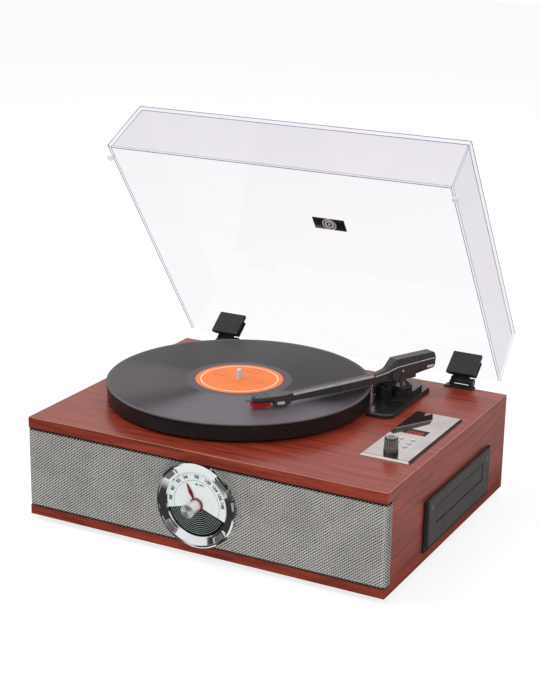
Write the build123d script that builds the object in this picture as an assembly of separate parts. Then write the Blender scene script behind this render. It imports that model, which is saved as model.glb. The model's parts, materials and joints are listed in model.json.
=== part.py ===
from build123d import *
import math
import os

os.makedirs("parts", exist_ok=True)

# A wooden music centre: record player under a clear lid, dial radio, CD tray and two speakers.
# Millimetres. X runs to the right, Y to the rear and Z up from the floor. Pieces are placed about
# the cabinet's centre, and the whole model is moved at the end so that the middle of its
# bounding box stands on the origin.

# ---------------------------------------------------------------- clearances
FIT = 0.05  # radial running fit of a shaft in its bore
GAP = 0.3  # between pieces that pass or lie close to each other
SEAT = 0.1  # around a piece let into a plate

# ---------------------------------------------------------------- layout of the top
PLATTER_R = 150.0
PLATTER_LEFT = 16.0  # cabinet's left side to the platter
PLATTER_FRONT = 26.0  # cabinet's front to the platter
PLATTER_REAR = 12.0  # platter to the cabinet's rear
PIVOT_ASIDE = 9.0  # the arm's vertical axis, to the right of the platter's edge
PIVOT_BEHIND = 95.0  # and behind the platter's axis
BASE_ASIDE = 23.5  # the arm's axis to its base's right edge
PLATE_GAP = 14.3  # the arm's base to the control plate
PLATE_W = 55.4
PLATE_INSET = 11.8  # control plate to the cabinet's right side

# ---------------------------------------------------------------- cabinet
CAB_W = PLATTER_LEFT + 2 * PLATTER_R + PIVOT_ASIDE + BASE_ASIDE + PLATE_GAP + PLATE_W + PLATE_INSET
CAB_D = PLATTER_FRONT + 2 * PLATTER_R + PLATTER_REAR
FOOT_H = 6.0
FOOT_R = 12.0
FOOT_INSET = 30.0
TOP_T = 12.0
BOTTOM_T = 10.5
DIAL_BACK_R = 43.0  # the dial's body, behind the grille
DIAL_MARGIN = 3.0  # above and below it
BODY_H = BOTTOM_T + 2 * (DIAL_BACK_R + DIAL_MARGIN) + TOP_T
SIDE_T = 10.0
REAR_T = 6.0
EDGE_R = 0.8  # rounding of the top board's upper edges

H = FOOT_H + BODY_H  # upper face of the cabinet
TOP_UNDER = H - TOP_T
FLOOR_IN = FOOT_H + BOTTOM_T  # upper face of the bottom board
RIGHT = CAB_W / 2
FRONT = -CAB_D / 2
REAR = CAB_D / 2
MIDDLE_Z = (FLOOR_IN + TOP_UNDER) / 2  # halfway between the bottom and top boards

# grille: a thin perforated sheet wrapped round the front corners
GRILLE_T = 1.2
GRILLE_PROUD = 0.6
GRILLE_WRAP = 10.0
GRILLE_R = 4.5
GRILLE_FRONT = FRONT - GRILLE_PROUD
BAFFLE_FRONT = GRILLE_FRONT + GRILLE_T
BAFFLE_REAR = FRONT + GRILLE_WRAP

# screws that hold the bottom board to the sides
SCREW_R = 2.0
SCREW_HEAD_R = 4.0
SCREW_HEAD_H = 2.2
SCREW_L = 16.0
SCREW_INSET = 49.0  # from the front and the rear
SCREW_SPAN = CAB_D / 2 - SCREW_INSET  # either side of the middle

# ---------------------------------------------------------------- speakers
SPEAKER_INSET = 80.0  # from the cabinet's sides
SPEAKER_X = RIGHT - SPEAKER_INSET
SPEAKER_Z = MIDDLE_Z
SPEAKER_R = 38.0
CONE_R = 33.0
CONE_DEPTH = 14.0
CONE_T = 0.8
BASKET_T = 2.0
MAGNET_R = 22.0
MAGNET_T = 12.0
VOICE_R = 9.0

# ---------------------------------------------------------------- dial
DIAL_Z = MIDDLE_Z + 0.8
BEZEL_R = 47.0
BEZEL_FOOT_R = 44.5
BEZEL_FOOT_H = 3.6  # straight foot against the grille
BEZEL_FLARE_H = 5.4  # where the flare reaches the full radius
BEZEL_PROUD = 7.4
BEZEL_LIP = 1.6
DIAL_R = 35.5
FACE_T = 1.2
FACE_OUT = 2.4  # front of the face, forward of the grille
LUG_COUNT = 4
LUG_WIDTH = 22.0  # degrees
LUG_IN_R = 38.5
LUG_PROUD = 0.7
TUNE_SHAFT_R = 3.0
TUNE_KNOB_R = 7.6  # front face
TUNE_KNOB_BACK_R = 6.2
TUNE_KNOB_L = 19.0
POINTER_T = 0.8
POINTER_HUB_R = 7.8
POINTER_L = 25.0
POINTER_W = 4.4
POINTER_WAIST = 15.0  # widest point of the needle, from the centre
POINTER_TIP_W = 0.8
POINTER_NECK_W = 1.6
POINTER_TURN = 27.0  # degrees left of straight up
TUNER_W = 34.0
TUNER_H = 30.0
TUNER_D = 26.0

# ---------------------------------------------------------------- turntable
PLATTER_X = PLATTER_LEFT + PLATTER_R - RIGHT
PLATTER_Y = FRONT + PLATTER_FRONT + PLATTER_R
PLATTER_TOP = 19.5  # above the board
PLATTER_LIFT = 2.2
PLATTER_SKIN = 4.0
PLATTER_RIM = 5.0
HUB_R = 14.0
DRIVE_R = 75.0
DRIVE_T = 3.0
RECORD_OVER = 0.8  # the record stands out past the platter
RECORD_R = PLATTER_R + RECORD_OVER
RECORD_T = 1.5
RECORD_HOLE_R = 3.65
LABEL_R = 50.0
LABEL_T = 0.2
SPINDLE_R = 3.4  # free end above the record, a little slimmer than the seat
SPINDLE_SEAT_R = 3.6
SPINDLE_UP = 12.0  # free end above the record's label
SPINDLE_DOME = 2.0
SPINDLE_DOWN = 30.0  # below the board's upper face
BUSH_R = 8.0
BUSH_FLANGE_R = 13.0
BUSH_FLANGE_T = 1.6
BUSH_FLOOR = 2.0
PULLEY_R = 6.0
PULLEY_H = 8.0
PULLEY_REACH = 108.0  # from the platter's axis
PULLEY_ANGLE = 150.0
MOTOR_R = 17.0
MOTOR_L = 26.0
MOTOR_SHAFT_R = 1.0
BELT_T = 0.6
BELT_H = 5.0

RECORD_Z = H + PLATTER_TOP + RECORD_T  # upper face of the record

# ---------------------------------------------------------------- tonearm
PIVOT_X = PLATTER_X + PLATTER_R + PIVOT_ASIDE
PIVOT_Y = PLATTER_Y + PIVOT_BEHIND
ARM_TURN = -116.0  # direction of the arm tube, degrees from +X
ARM_REACH = 158.0  # vertical axis to the front of the tube
ARM_REAR = 45.5
ARM_TAIL_CHAMFER = 3.0
ARM_UP = 29.0  # above the board
ARM_Z = H + ARM_UP  # the tube's reference line
PITCH_S = 12.0  # horizontal axis, forward of the vertical one
PITCH_Z = ARM_Z - 2.0
PITCH_R = 1.5
BOX_W = 18.0
BOX_ROOF = 18.5  # above the tube's line
BOX_SEAM = 11.4
BOX_CROWN = 6.0  # half the width of the flat roof
BOX_FRONT = 13.0
NECK_S = 25.0
TUBE_START = 42.0
TUBE_RISE = 2.6  # the tube's underside climbs by this to the headshell
EAR_T = 2.0
EAR_GAP = 1.2
EAR_FRONT = 10.0
EAR_REAR = 7.0
EAR_NECK = 12.0  # front edge where the ear passes inside the cue platform
EAR_CROWN = 4.6
EAR_CROWN_S = 17.0
EAR_CROWN_Z = ARM_Z + 0.7
EAR_POCKET_H = 9.0
EAR_POCKET_BACK = 7.5  # from the ear's rear edge
EAR_POCKET_FRONT = 2.0  # from its front edge
EAR_POCKET_LEAN = 1.5
YOKE_Z = H + 11.8
YOKE_WEB = 3.0
YOKE_SHAFT_R = 4.0
YOKE_SHAFT_L = 20.0
BASE_T = 5.0
BASE_LEFT = 28.0  # from the arm's axis
BASE_FRONT = 81.0
BASE_REAR = 48.0
BASE_X0 = PIVOT_X - BASE_LEFT
BASE_X1 = PIVOT_X + BASE_ASIDE
BASE_Y0 = PIVOT_Y - BASE_FRONT
BASE_Y1 = PIVOT_Y + BASE_REAR
BASE_CORNER = 9.0
BASE_REAR_CORNER = 18.0
BASE_BEVEL = 1.5
BASE_CLEAR = 2.0  # from the record's edge
BASE_BOSS_R = 9.0
BLOCK_H = 11.5  # raised block, above the board
BLOCK_RIGHT = 4.5  # from the base's right edge
BLOCK_LEFT = 13.0  # left of the arm's axis
BLOCK_REAR = 27.0  # behind the arm's axis
BLOCK_FRONT = 19.0  # its nose, in front of the arm's axis
BLOCK_CUT = 7.0  # its cut corners
SPEED_ASIDE = 10.6  # from the arm's axis
SPEED_AHEAD = 42.0
SPEED_X = PIVOT_X + SPEED_ASIDE
SPEED_Y = PIVOT_Y - SPEED_AHEAD
SPEED_RECESS_R = 10.5
SPEED_RECESS = 2.0
SPEED_KNOB_R = 5.6
SPEED_KNOB_H = 6.0
SPEED_SHAFT_R = 2.0
CUE_R = 9.5
CUE_REACH = 25.3  # from the arm's vertical axis
CUE_TURN = 1.5  # from the arm's direction
CUE_TOP = 19.0  # above the board
CUE_ROD_R = 3.0
CUE_PLATE_T = 2.8
CUE_PLATE_IN = 21.5
CUE_PLATE_OUT = 33.0
CUE_SWEEP_IN = 14.0  # degrees each way from the arm at rest
CUE_SWEEP_OUT = 24.0
CUE_FREE = 0.5  # between the cue plate and the arm tube
LEVER_T = 2.4
LEVER_R = 4.0
LEVER_Z = H + 9.6
LEVER_TOP = H + 19.4
LEVER_TIP = 3.0
WEIGHT_R = 7.0
WEIGHT_L = 14.0
WEIGHT_S = -28.0
WEIGHT_Z = ARM_Z + 4.5
HEAD_TURN = -16.0
HEAD_L = 43.0
HEAD_W = 15.0
HEAD_T = 3.8
HEAD_Z = ARM_Z + 1.3  # underside of the headshell plate
HEAD_ROOF = ARM_Z + 5.8  # top of the neck
HEAD_KEEL = ARM_Z - 5.8  # underside of the box behind the cartridge
HEAD_BOX_L = 22.0
HEAD_SLOT_Y = 4.2
HEAD_SLOT_L = 5.0
HEAD_SLOT_W = 1.4
CART_L = 19.0
CART_W = 11.0
CART_H = 2.6
STYLUS_S = 34.4  # from the headshell's joint
STYLUS_FREE = 0.25  # tip above the groove
FINGER_L = 10.0

# ---------------------------------------------------------------- control plate
PLATE_X = RIGHT - PLATE_INSET - PLATE_W / 2
PLATE_Y = -15.75
PLATE_L = 149.7
PLATE_T = 2.8
PLATE_BEVEL = 1.8
PLATE_LIP = 3.4  # front lip, parted from the flat by a groove
PLATE_GROOVE_W = 0.7
PLATE_GROOVE = 0.5
CONTROLS_X = PLATE_X - 0.7  # line of the knob, the window and the buttons
PLATE_REST = 8.0  # how far the plate overlaps the board's opening
VOL_AHEAD = 56.25  # in front of the plate's middle
VOL_Y = PLATE_Y - VOL_AHEAD
VOL_R = 7.7
VOL_TOP_R = 6.9
VOL_H = 16.9
VOL_SKIRT_R = 8.0
VOL_SKIRT_H = 3.0
VOL_RIBS = 30
VOL_RIB_CUT = 0.35
VOL_CHAMFER = 1.0
VOL_SHAFT_R = 3.0
POT_SIZE = 17.0
POT_H = 8.0
WINDOW_BEHIND = 10.25
WINDOW_Y = PLATE_Y + WINDOW_BEHIND
WINDOW_W = 27.0
WINDOW_L = 15.0
WINDOW_T = 1.6
BUTTON_R = 2.7
BUTTON_PROUD = 1.3
BUTTON_TRAVEL = 0.8
BUTTON_FLANGE = 1.1
BUTTON_STEM = 3.0
BUTTON_ROWS = 3
BUTTON_COLUMNS = 2
BUTTON_PITCH_X = 13.5
BUTTON_PITCH_Y = 11.0
BUTTONS_AHEAD = 24.25
BUTTONS_Y = PLATE_Y - BUTTONS_AHEAD
BOARD_T = 1.6  # printed circuit boards
SWITCH_SIZE = 5.0
SWITCH_H = 3.0

# ---------------------------------------------------------------- CD unit
CD_Y = 19.5
CD_Z = FLOOR_IN + 33.0
CD_FLANGE_L = 190.0
CD_FLANGE_H = 58.0
CD_FLANGE_DY = 1.5
CD_FLANGE_DZ = -2.5
CD_FLANGE_T = 2.2
CD_FACE_L = 176.0
CD_FACE_H = 53.0
CD_FACE_T = 2.8
CD_SCREW_DY = 80.0
CD_SCREW_DZ = 17.0
CD_SCREW_R = 1.6
CD_SCREW_HEAD_R = 3.0
CD_SCREW_L = 12.0
TRAY_L = 135.0
TRAY_H = 19.0
TRAY_Z = CD_Z + 4.5
TRAY_REACH = 150.0
TRAY_T = 4.0
DISC_R = 60.6
DISC_DEPTH = 1.8
DISC_BACK = 65.0  # disc's centre behind the cabinet's side
DISC_WINDOW_R = 17.0
CHASSIS_L = 168.0
CHASSIS_H = 50.0
CHASSIS_DEPTH = 160.0
CHASSIS_T = 1.5
RAIL_W = 4.0

# ---------------------------------------------------------------- dust cover
LID_INSET = 7.8  # from the cabinet's sides
LID_SETBACK = 11.5  # from the cabinet's front
LID_BACK = 3.8  # closed rear wall inside the cabinet's rear edge
LID_W = CAB_W - 2 * LID_INSET
LID_D = CAB_D - LID_SETBACK - LID_BACK
LID_H = 69.4
LID_WALL = 3.0
LID_SIDE_DRAFT = 5.6
LID_FRONT_DRAFT = 4.9
LID_REAR_DRAFT = 3.5
LID_OPEN = 54.7  # degrees, as it stands
HINGE_BACK = 6.0  # axis behind the cabinet
HINGE_UP = 5.0  # axis above the board
HINGE_INSET = 57.0  # from the cabinet's sides
HINGE_X = RIGHT - HINGE_INSET
CLIP_W = 35.2
CLIP_FRONT_T = 4.0
CLIP_BACK_T = 2.6
CLIP_H = 29.5
KNUCKLE_W = 20.0  # barrel between the bracket's ears
CLIP_BACK_H = 24.0
CLIP_WEB = 2.2
BARREL_R = 3.7
PIN_R = 1.5
EAR_W = 3.6
BRACKET_W = 34.6
EAR_REACH = 2.0  # the ears' front edge, inside the cabinet's rear edge
BRACKET_T = 2.0
BRACKET_FLANGE = 9.0
BRACKET_DROP = 20.0
BRACKET_CROWN = 4.5
LID_RIM_UP = 5.6  # closed rim above the board
BUMPER_R = 3.5
BUMPER_OUT = 0.5  # centre beyond the rim's outer edge
BUMPER_BACK = 16.0  # behind the lid's front
BADGE_W = 46.0
BADGE_L = 20.0
BADGE_T = 1.2

# ---------------------------------------------------------------- rear panel
SOCKET_INSET = 95.0  # from the cabinet's sides, as the inlet
SOCKET_X = SOCKET_INSET - RIGHT
SOCKET_Z = MIDDLE_Z - 2.5
SOCKET_PITCH = 16.0
SOCKET_R = 4.15
SOCKET_OUT = 8.0
SOCKET_FLANGE_R = 6.5
INLET_X = RIGHT - SOCKET_INSET
INLET_W = 11.0
INLET_D = 12.0
INLET_BORE = 3.1
INLET_PIN = 1.0
ROCKER_INSET = 65.0
ROCKER_X = RIGHT - ROCKER_INSET
ROCKER_W = 12.0
ROCKER_H = 18.0
ROCKER_PROUD = 2.0
ROCKER_PIN_R = 1.2
ROCKER_TURN = 12.0

# ---------------------------------------------------------------- boards inside
MAIN_W = 130.0
MAIN_D = 90.0
MAIN_INSET = 105.0  # its middle, from the cabinet's left side
MAIN_AHEAD = 109.0  # and from the rear
MAIN_X = MAIN_INSET - RIGHT
MAIN_Y = REAR - MAIN_AHEAD
STANDOFF = 8.0
STANDOFF_R = 3.0
HEATSINK_H = 24.0
HEATSINK_W = 40.0
HEATSINK_D = 12.0
STANDOFF_INSET = 6.0
PARTS_INSET = 10.0  # heat sink and capacitors from the board's front edge
CAPACITOR_R = 7.0
CAPACITOR_PITCH = 18.0


# ---------------------------------------------------------------- helpers
def block(x0, x1, y0, y1, z0, z1):
    return Pos((x0 + x1) / 2, (y0 + y1) / 2, (z0 + z1) / 2) * Box(x1 - x0, y1 - y0, z1 - z0)


def post(x, y, z0, z1, radius):
    return Pos(x, y, (z0 + z1) / 2) * Cylinder(radius, z1 - z0)


def rod_x(y, z, x0, x1, radius):
    return Pos((x0 + x1) / 2, y, z) * Rot(0, 90, 0) * Cylinder(radius, x1 - x0)


def rod_y(x, z, y0, y1, radius):
    return Pos(x, (y0 + y1) / 2, z) * Rot(90, 0, 0) * Cylinder(radius, y1 - y0)


def polygon(points):
    return make_face(Polyline(*points, close=True))


def turned(points):
    """A solid turned about Z from a profile of (radius, height) points."""
    profile = Plane.XZ * polygon(points)
    return revolve(profile, Axis.Z)


def wedge(radius, middle, width, z0, z1):
    """A pie slice about Z, wide enough to cut a ring."""
    reach = radius * 1.5
    half = math.radians(width / 2)
    mid = math.radians(middle)
    corners = [(0, 0)] + [(reach * math.cos(mid + a), reach * math.sin(mid + a)) for a in (-half, 0, half)]
    return extrude(Pos(0, 0, z0) * polygon(corners), amount=z1 - z0)


def side_profile(points, x0, x1):
    """A prism along X from a profile of (y, z) points."""
    return extrude(Pos(x0, 0, 0) * (Plane.YZ * polygon(points)), amount=x1 - x0)


# ---------------------------------------------------------------- cabinet
PULLEY_X = PLATTER_X + PULLEY_REACH * math.cos(math.radians(PULLEY_ANGLE))
PULLEY_Y = PLATTER_Y + PULLEY_REACH * math.sin(math.radians(PULLEY_ANGLE))
PLATE_X0 = PLATE_X - PLATE_W / 2
PLATE_X1 = PLATE_X + PLATE_W / 2
PLATE_Y0 = PLATE_Y - PLATE_L / 2
PLATE_Y1 = PLATE_Y + PLATE_L / 2


def top_board():
    board = block(-RIGHT, RIGHT, FRONT, REAR, TOP_UNDER, H)
    board = fillet(board.faces().sort_by(Axis.Z)[-1].edges(), EDGE_R)
    board -= post(PLATTER_X, PLATTER_Y, TOP_UNDER, H, BUSH_R)
    board -= post(PULLEY_X, PULLEY_Y, TOP_UNDER, H, PULLEY_R)
    board -= post(PIVOT_X, PIVOT_Y, TOP_UNDER, H, BASE_BOSS_R + SEAT)
    board -= post(SPEED_X, SPEED_Y, TOP_UNDER, H, SPEED_SHAFT_R + GAP)
    board -= block(
        PLATE_X0 + PLATE_REST, PLATE_X1 - PLATE_REST, PLATE_Y0 + PLATE_REST, PLATE_Y1 - PLATE_REST, TOP_UNDER, H
    )
    return board


def screw_places():
    x = RIGHT - SIDE_T / 2
    return [(side * x, y) for side in (-1, 1) for y in (-SCREW_SPAN, 0, SCREW_SPAN)]


def bottom_screw(x, y):
    head = Pos(x, y, FOOT_H + SCREW_HEAD_H / 2) * Cone(SCREW_HEAD_R, SCREW_R, SCREW_HEAD_H)
    return head + post(x, y, FOOT_H + SCREW_HEAD_H, FOOT_H + SCREW_L, SCREW_R)


def bottom_screw_hole(x, y):
    head = Pos(x, y, FOOT_H + SCREW_HEAD_H / 2) * Cone(SCREW_HEAD_R, SCREW_R, SCREW_HEAD_H)
    return head + post(x, y, FOOT_H + SCREW_HEAD_H, FOOT_H + SCREW_L, SCREW_R + FIT)


def bottom_board():
    board = block(-RIGHT, RIGHT, FRONT, REAR, FOOT_H, FLOOR_IN)
    for place in screw_places():
        board -= bottom_screw_hole(*place)
    return board


def side_board(side):
    inner = side * (RIGHT - SIDE_T)
    outer = side * RIGHT
    board = block(min(inner, outer), max(inner, outer), BAFFLE_REAR, REAR, FLOOR_IN, TOP_UNDER)
    for x, y in screw_places():
        if x * side > 0:
            board -= post(x, y, FOOT_H, FOOT_H + SCREW_L, SCREW_R + FIT)
    if side > 0:
        y0, y1, z0, z1 = chassis_walls()
        board -= block(inner, outer, y0 - GAP, y1 + GAP, z0 - GAP, z1 + GAP)
    return board


def rear_panel():
    panel = block(-RIGHT + SIDE_T, RIGHT - SIDE_T, REAR - REAR_T, REAR, FLOOR_IN, TOP_UNDER)
    for i in (0, 1):
        panel -= rod_y(SOCKET_X + i * SOCKET_PITCH, SOCKET_Z, REAR - REAR_T, REAR, SOCKET_R)
    panel -= block(
        INLET_X - INLET_W / 2, INLET_X + INLET_W / 2, REAR - REAR_T, REAR, SOCKET_Z - INLET_W / 2, SOCKET_Z + INLET_W / 2
    )
    half_w = ROCKER_W / 2 + GAP
    half_h = ROCKER_H / 2 + GAP
    panel -= block(ROCKER_X - half_w, ROCKER_X + half_w, REAR - REAR_T, REAR, SOCKET_Z - half_h, SOCKET_Z + half_h)
    return panel - rocker_pin(ROCKER_PIN_R + FIT)


def rocker_pin(radius):
    reach = ROCKER_W / 2 + 3.0
    return rod_x(REAR - REAR_T / 2, SOCKET_Z, ROCKER_X - reach, ROCKER_X + reach, radius)


def front_baffle():
    half = RIGHT + GRILLE_PROUD - GRILLE_T
    outline = RectangleRounded(2 * half, 2 * (BAFFLE_REAR - BAFFLE_FRONT), GRILLE_R - GRILLE_T)
    board = extrude(Pos(0, BAFFLE_REAR, FLOOR_IN) * outline, amount=TOP_UNDER - FLOOR_IN)
    board &= block(-half, half, BAFFLE_FRONT, BAFFLE_REAR, FLOOR_IN, TOP_UNDER)
    for side in (-1, 1):
        board -= rod_y(side * SPEAKER_X, SPEAKER_Z, BAFFLE_FRONT, REAR, CONE_R)
    board -= rod_y(0, DIAL_Z, BAFFLE_FRONT, REAR, TUNE_SHAFT_R + GAP)
    return board


def speaker_grille():
    half = RIGHT + GRILLE_PROUD
    z0 = FLOOR_IN + GAP
    z1 = TOP_UNDER - GAP
    depth = 2 * (GRILLE_WRAP + GRILLE_PROUD)
    outer = RectangleRounded(2 * half, depth, GRILLE_R)
    inner = RectangleRounded(2 * (half - GRILLE_T), depth - 2 * GRILLE_T, GRILLE_R - GRILLE_T)
    sheet = extrude(Pos(0, FRONT + GRILLE_WRAP, z0) * (outer - inner), amount=z1 - z0)
    sheet &= block(-half, half, GRILLE_FRONT, FRONT + GRILLE_WRAP, z0, z1)
    sheet -= rod_y(0, DIAL_Z, GRILLE_FRONT, BAFFLE_FRONT, DIAL_BACK_R + SEAT)
    return sheet


def rubber_feet():
    x = RIGHT - FOOT_INSET
    y = REAR - FOOT_INSET
    foot = turned([(0, 0), (FOOT_R - 1.5, 0), (FOOT_R, 1.5), (FOOT_R, FOOT_H), (0, FOOT_H)])
    return [Pos(sx * x, sy * y, 0) * foot for sx in (-1, 1) for sy in (-1, 1)]


# ---------------------------------------------------------------- speakers
def speaker_frame():
    """Basket and magnet, turned about Z with the mounting flange at z = 0 and the magnet behind."""
    deep = CONE_DEPTH + 4.0
    outer = [(SPEAKER_R, 0), (SPEAKER_R, -BASKET_T), (CONE_R, -BASKET_T), (MAGNET_R, -deep)]
    magnet = [(MAGNET_R, -deep - MAGNET_T), (0, -deep - MAGNET_T), (0, -deep)]
    inner = [(MAGNET_R - BASKET_T, -deep), (CONE_R - BASKET_T, -BASKET_T), (CONE_R - BASKET_T, 0)]
    return turned(outer + magnet + inner)


def speaker_cone():
    """Paper cone with its dust cap, glued into the basket's mouth."""
    rim = CONE_R - BASKET_T
    back = -CONE_DEPTH
    cap = VOICE_R / 3
    outside = [(rim, -BASKET_T / 2), (rim, -BASKET_T / 2 - CONE_T), (VOICE_R, back - CONE_T), (0, back - CONE_T)]
    inside = [(0, back + cap), (VOICE_R * 0.6, back + cap * 0.7), (VOICE_R, back)]
    return turned(outside + inside)


def at_speakers(shape):
    places = [Pos(side * SPEAKER_X, BAFFLE_REAR, SPEAKER_Z) for side in (-1, 1)]
    return [place * Rot(90, 0, 0) * shape for place in places]


# ---------------------------------------------------------------- dial, with local Z towards the listener
DIAL = Pos(0, GRILLE_FRONT, DIAL_Z) * Rot(90, 0, 0)


def dial_bezel():
    back = BAFFLE_FRONT - GRILLE_FRONT
    seat = FACE_OUT - FACE_T
    ring = turned(
        [
            (DIAL_R - 5.0, -back),
            (DIAL_BACK_R, -back),
            (DIAL_BACK_R, 0),
            (BEZEL_FOOT_R, 0),
            (BEZEL_FOOT_R, BEZEL_FOOT_H),
            (BEZEL_R, BEZEL_FLARE_H),
            (BEZEL_R, BEZEL_PROUD - BEZEL_LIP),
            (BEZEL_R - BEZEL_LIP, BEZEL_PROUD),
            (BEZEL_R - 2 * BEZEL_LIP, BEZEL_PROUD - 0.4),
            (BEZEL_R - 2 * BEZEL_LIP, BEZEL_PROUD - BEZEL_LIP),
            (DIAL_R + 1.2, FACE_OUT + 1.4),
            (DIAL_R, FACE_OUT),
            (DIAL_R, seat),
            (DIAL_R - 5.0, seat),
        ]
    )
    for i in range(LUG_COUNT):
        turn = 45 + i * 360 / LUG_COUNT
        lug = turned(
            [
                (LUG_IN_R, FACE_OUT + 2.0),
                (BEZEL_R - BEZEL_LIP, FACE_OUT + 2.0),
                (BEZEL_R - BEZEL_LIP, BEZEL_PROUD + LUG_PROUD),
                (BEZEL_R - 2 * BEZEL_LIP, BEZEL_PROUD + LUG_PROUD),
                (LUG_IN_R, FACE_OUT + 3.4),
            ]
        )
        ring += lug & wedge(BEZEL_R, turn, LUG_WIDTH, 0, 2 * BEZEL_PROUD)
    return DIAL * ring


def dial_face():
    disc = Pos(0, 0, FACE_OUT - FACE_T / 2) * Cylinder(DIAL_R - SEAT, FACE_T)
    disc -= Cylinder(TUNE_SHAFT_R + GAP, 4 * FACE_OUT)
    return DIAL * disc


POINTER_BACK = FACE_OUT + GAP
KNOB_BACK = POINTER_BACK + POINTER_T


def dial_pointer():
    hub = Cylinder(POINTER_HUB_R, POINTER_T)
    inside = TUNE_SHAFT_R + 2 * GAP
    outline = [
        (-POINTER_NECK_W / 2, inside),
        (-POINTER_NECK_W / 2, POINTER_HUB_R),
        (-POINTER_W / 2, POINTER_WAIST),
        (-POINTER_TIP_W / 2, POINTER_L),
        (POINTER_TIP_W / 2, POINTER_L),
        (POINTER_W / 2, POINTER_WAIST),
        (POINTER_NECK_W / 2, POINTER_HUB_R),
        (POINTER_NECK_W / 2, inside),
    ]
    needle = extrude(Pos(0, 0, -POINTER_T / 2) * polygon(outline), amount=POINTER_T)
    whole = hub + needle - Cylinder(TUNE_SHAFT_R, 4 * POINTER_T)
    return DIAL * Rot(0, 0, POINTER_TURN) * Pos(0, 0, POINTER_BACK + POINTER_T / 2) * whole


def tuning_knob():
    edge = 0.6
    knob = turned(
        [
            (0, KNOB_BACK),
            (TUNE_KNOB_BACK_R, KNOB_BACK),
            (TUNE_KNOB_R, KNOB_BACK + TUNE_KNOB_L - edge),
            (TUNE_KNOB_R - edge, KNOB_BACK + TUNE_KNOB_L),
            (0, KNOB_BACK + TUNE_KNOB_L),
        ]
    )
    start = -(BAFFLE_REAR - GRILLE_FRONT) - TUNER_D / 2
    shaft = post(0, 0, start, KNOB_BACK, TUNE_SHAFT_R)
    return DIAL * (knob + shaft)


def tuner_module():
    """Variable capacitor and its printed board, screwed to the back of the baffle."""
    case = block(
        -TUNER_W / 2, TUNER_W / 2, BAFFLE_REAR, BAFFLE_REAR + TUNER_D, DIAL_Z - TUNER_H / 2, DIAL_Z + TUNER_H / 2
    )
    case -= rod_y(0, DIAL_Z, BAFFLE_REAR, BAFFLE_REAR + TUNER_D / 2 + GAP, TUNE_SHAFT_R + FIT)
    return case


# ---------------------------------------------------------------- turntable, about its own axis
TURNTABLE = Pos(PLATTER_X, PLATTER_Y, H)


def platter():
    top = PLATTER_TOP
    under = top - PLATTER_SKIN
    edge = 1.0
    hub_foot = BUSH_FLANGE_T + GAP
    shell = turned(
        [
            (SPINDLE_SEAT_R, hub_foot),
            (HUB_R, hub_foot),
            (HUB_R, under),
            (DRIVE_R - DRIVE_T, under),
            (DRIVE_R - DRIVE_T, PLATTER_LIFT + edge),
            (DRIVE_R, PLATTER_LIFT + edge),
            (DRIVE_R, under),
            (PLATTER_R - PLATTER_RIM, under),
            (PLATTER_R - PLATTER_RIM, PLATTER_LIFT),
            (PLATTER_R - edge, PLATTER_LIFT),
            (PLATTER_R, PLATTER_LIFT + edge),
            (PLATTER_R, top - edge),
            (PLATTER_R - edge, top),
            (SPINDLE_SEAT_R, top),
        ]
    )
    return TURNTABLE * shell


def vinyl_record():
    low = PLATTER_TOP
    high = low + RECORD_T
    bead = RECORD_T / 4
    disc = turned(
        [
            (RECORD_HOLE_R, low),
            (RECORD_R - bead, low),
            (RECORD_R, low + bead),
            (RECORD_R, high - bead),
            (RECORD_R - bead, high),
            (RECORD_HOLE_R, high),
        ]
    )
    return TURNTABLE * disc


def record_label():
    high = PLATTER_TOP + RECORD_T
    disc = post(0, 0, high, high + LABEL_T, LABEL_R) - Cylinder(RECORD_HOLE_R, 4 * PLATTER_TOP)
    return TURNTABLE * disc


def spindle():
    seat_top = PLATTER_TOP + RECORD_T + LABEL_T
    tip = seat_top + SPINDLE_UP
    pin = turned(
        [
            (0, -SPINDLE_DOWN),
            (SPINDLE_SEAT_R, -SPINDLE_DOWN),
            (SPINDLE_SEAT_R, seat_top),
            (SPINDLE_R, seat_top),
            (SPINDLE_R, tip - SPINDLE_DOME),
            (SPINDLE_R * 0.75, tip - SPINDLE_DOME * 0.3),
            (SPINDLE_R * 0.4, tip),
            (0, tip),
        ]
    )
    return TURNTABLE * pin


def platter_bearing():
    """Flanged bush let into the board, closed at the bottom where the spindle stands."""
    sleeve = post(0, 0, -SPINDLE_DOWN - BUSH_FLOOR, 0, BUSH_R) + post(0, 0, 0, BUSH_FLANGE_T, BUSH_FLANGE_R)
    return TURNTABLE * (sleeve - post(0, 0, -SPINDLE_DOWN, BUSH_FLANGE_T, SPINDLE_SEAT_R + FIT))


PULLEY_FOOT = 4.0  # above the board
PULLEY = Pos(PULLEY_X, PULLEY_Y, H)


def motor_pulley():
    crown = 0.3
    edge = PULLEY_R + 0.7
    wheel = turned(
        [
            (0, PULLEY_FOOT),
            (edge, PULLEY_FOOT),
            (PULLEY_R - crown, PULLEY_FOOT + 1.2),
            (PULLEY_R, PULLEY_FOOT + PULLEY_H / 2),
            (PULLEY_R - crown, PULLEY_FOOT + PULLEY_H - 1.2),
            (edge, PULLEY_FOOT + PULLEY_H),
            (0, PULLEY_FOOT + PULLEY_H),
        ]
    )
    return PULLEY * (wheel + post(0, 0, -TOP_T - MOTOR_L + 3.0, PULLEY_FOOT, MOTOR_SHAFT_R))


def drive_motor():
    can = post(0, 0, -TOP_T - MOTOR_L, -TOP_T, MOTOR_R) + post(0, 0, -TOP_T, PULLEY_FOOT - GAP, PULLEY_R)
    return PULLEY * (can - post(0, 0, -TOP_T - MOTOR_L + 2.0, PULLEY_FOOT, MOTOR_SHAFT_R + FIT))


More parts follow.
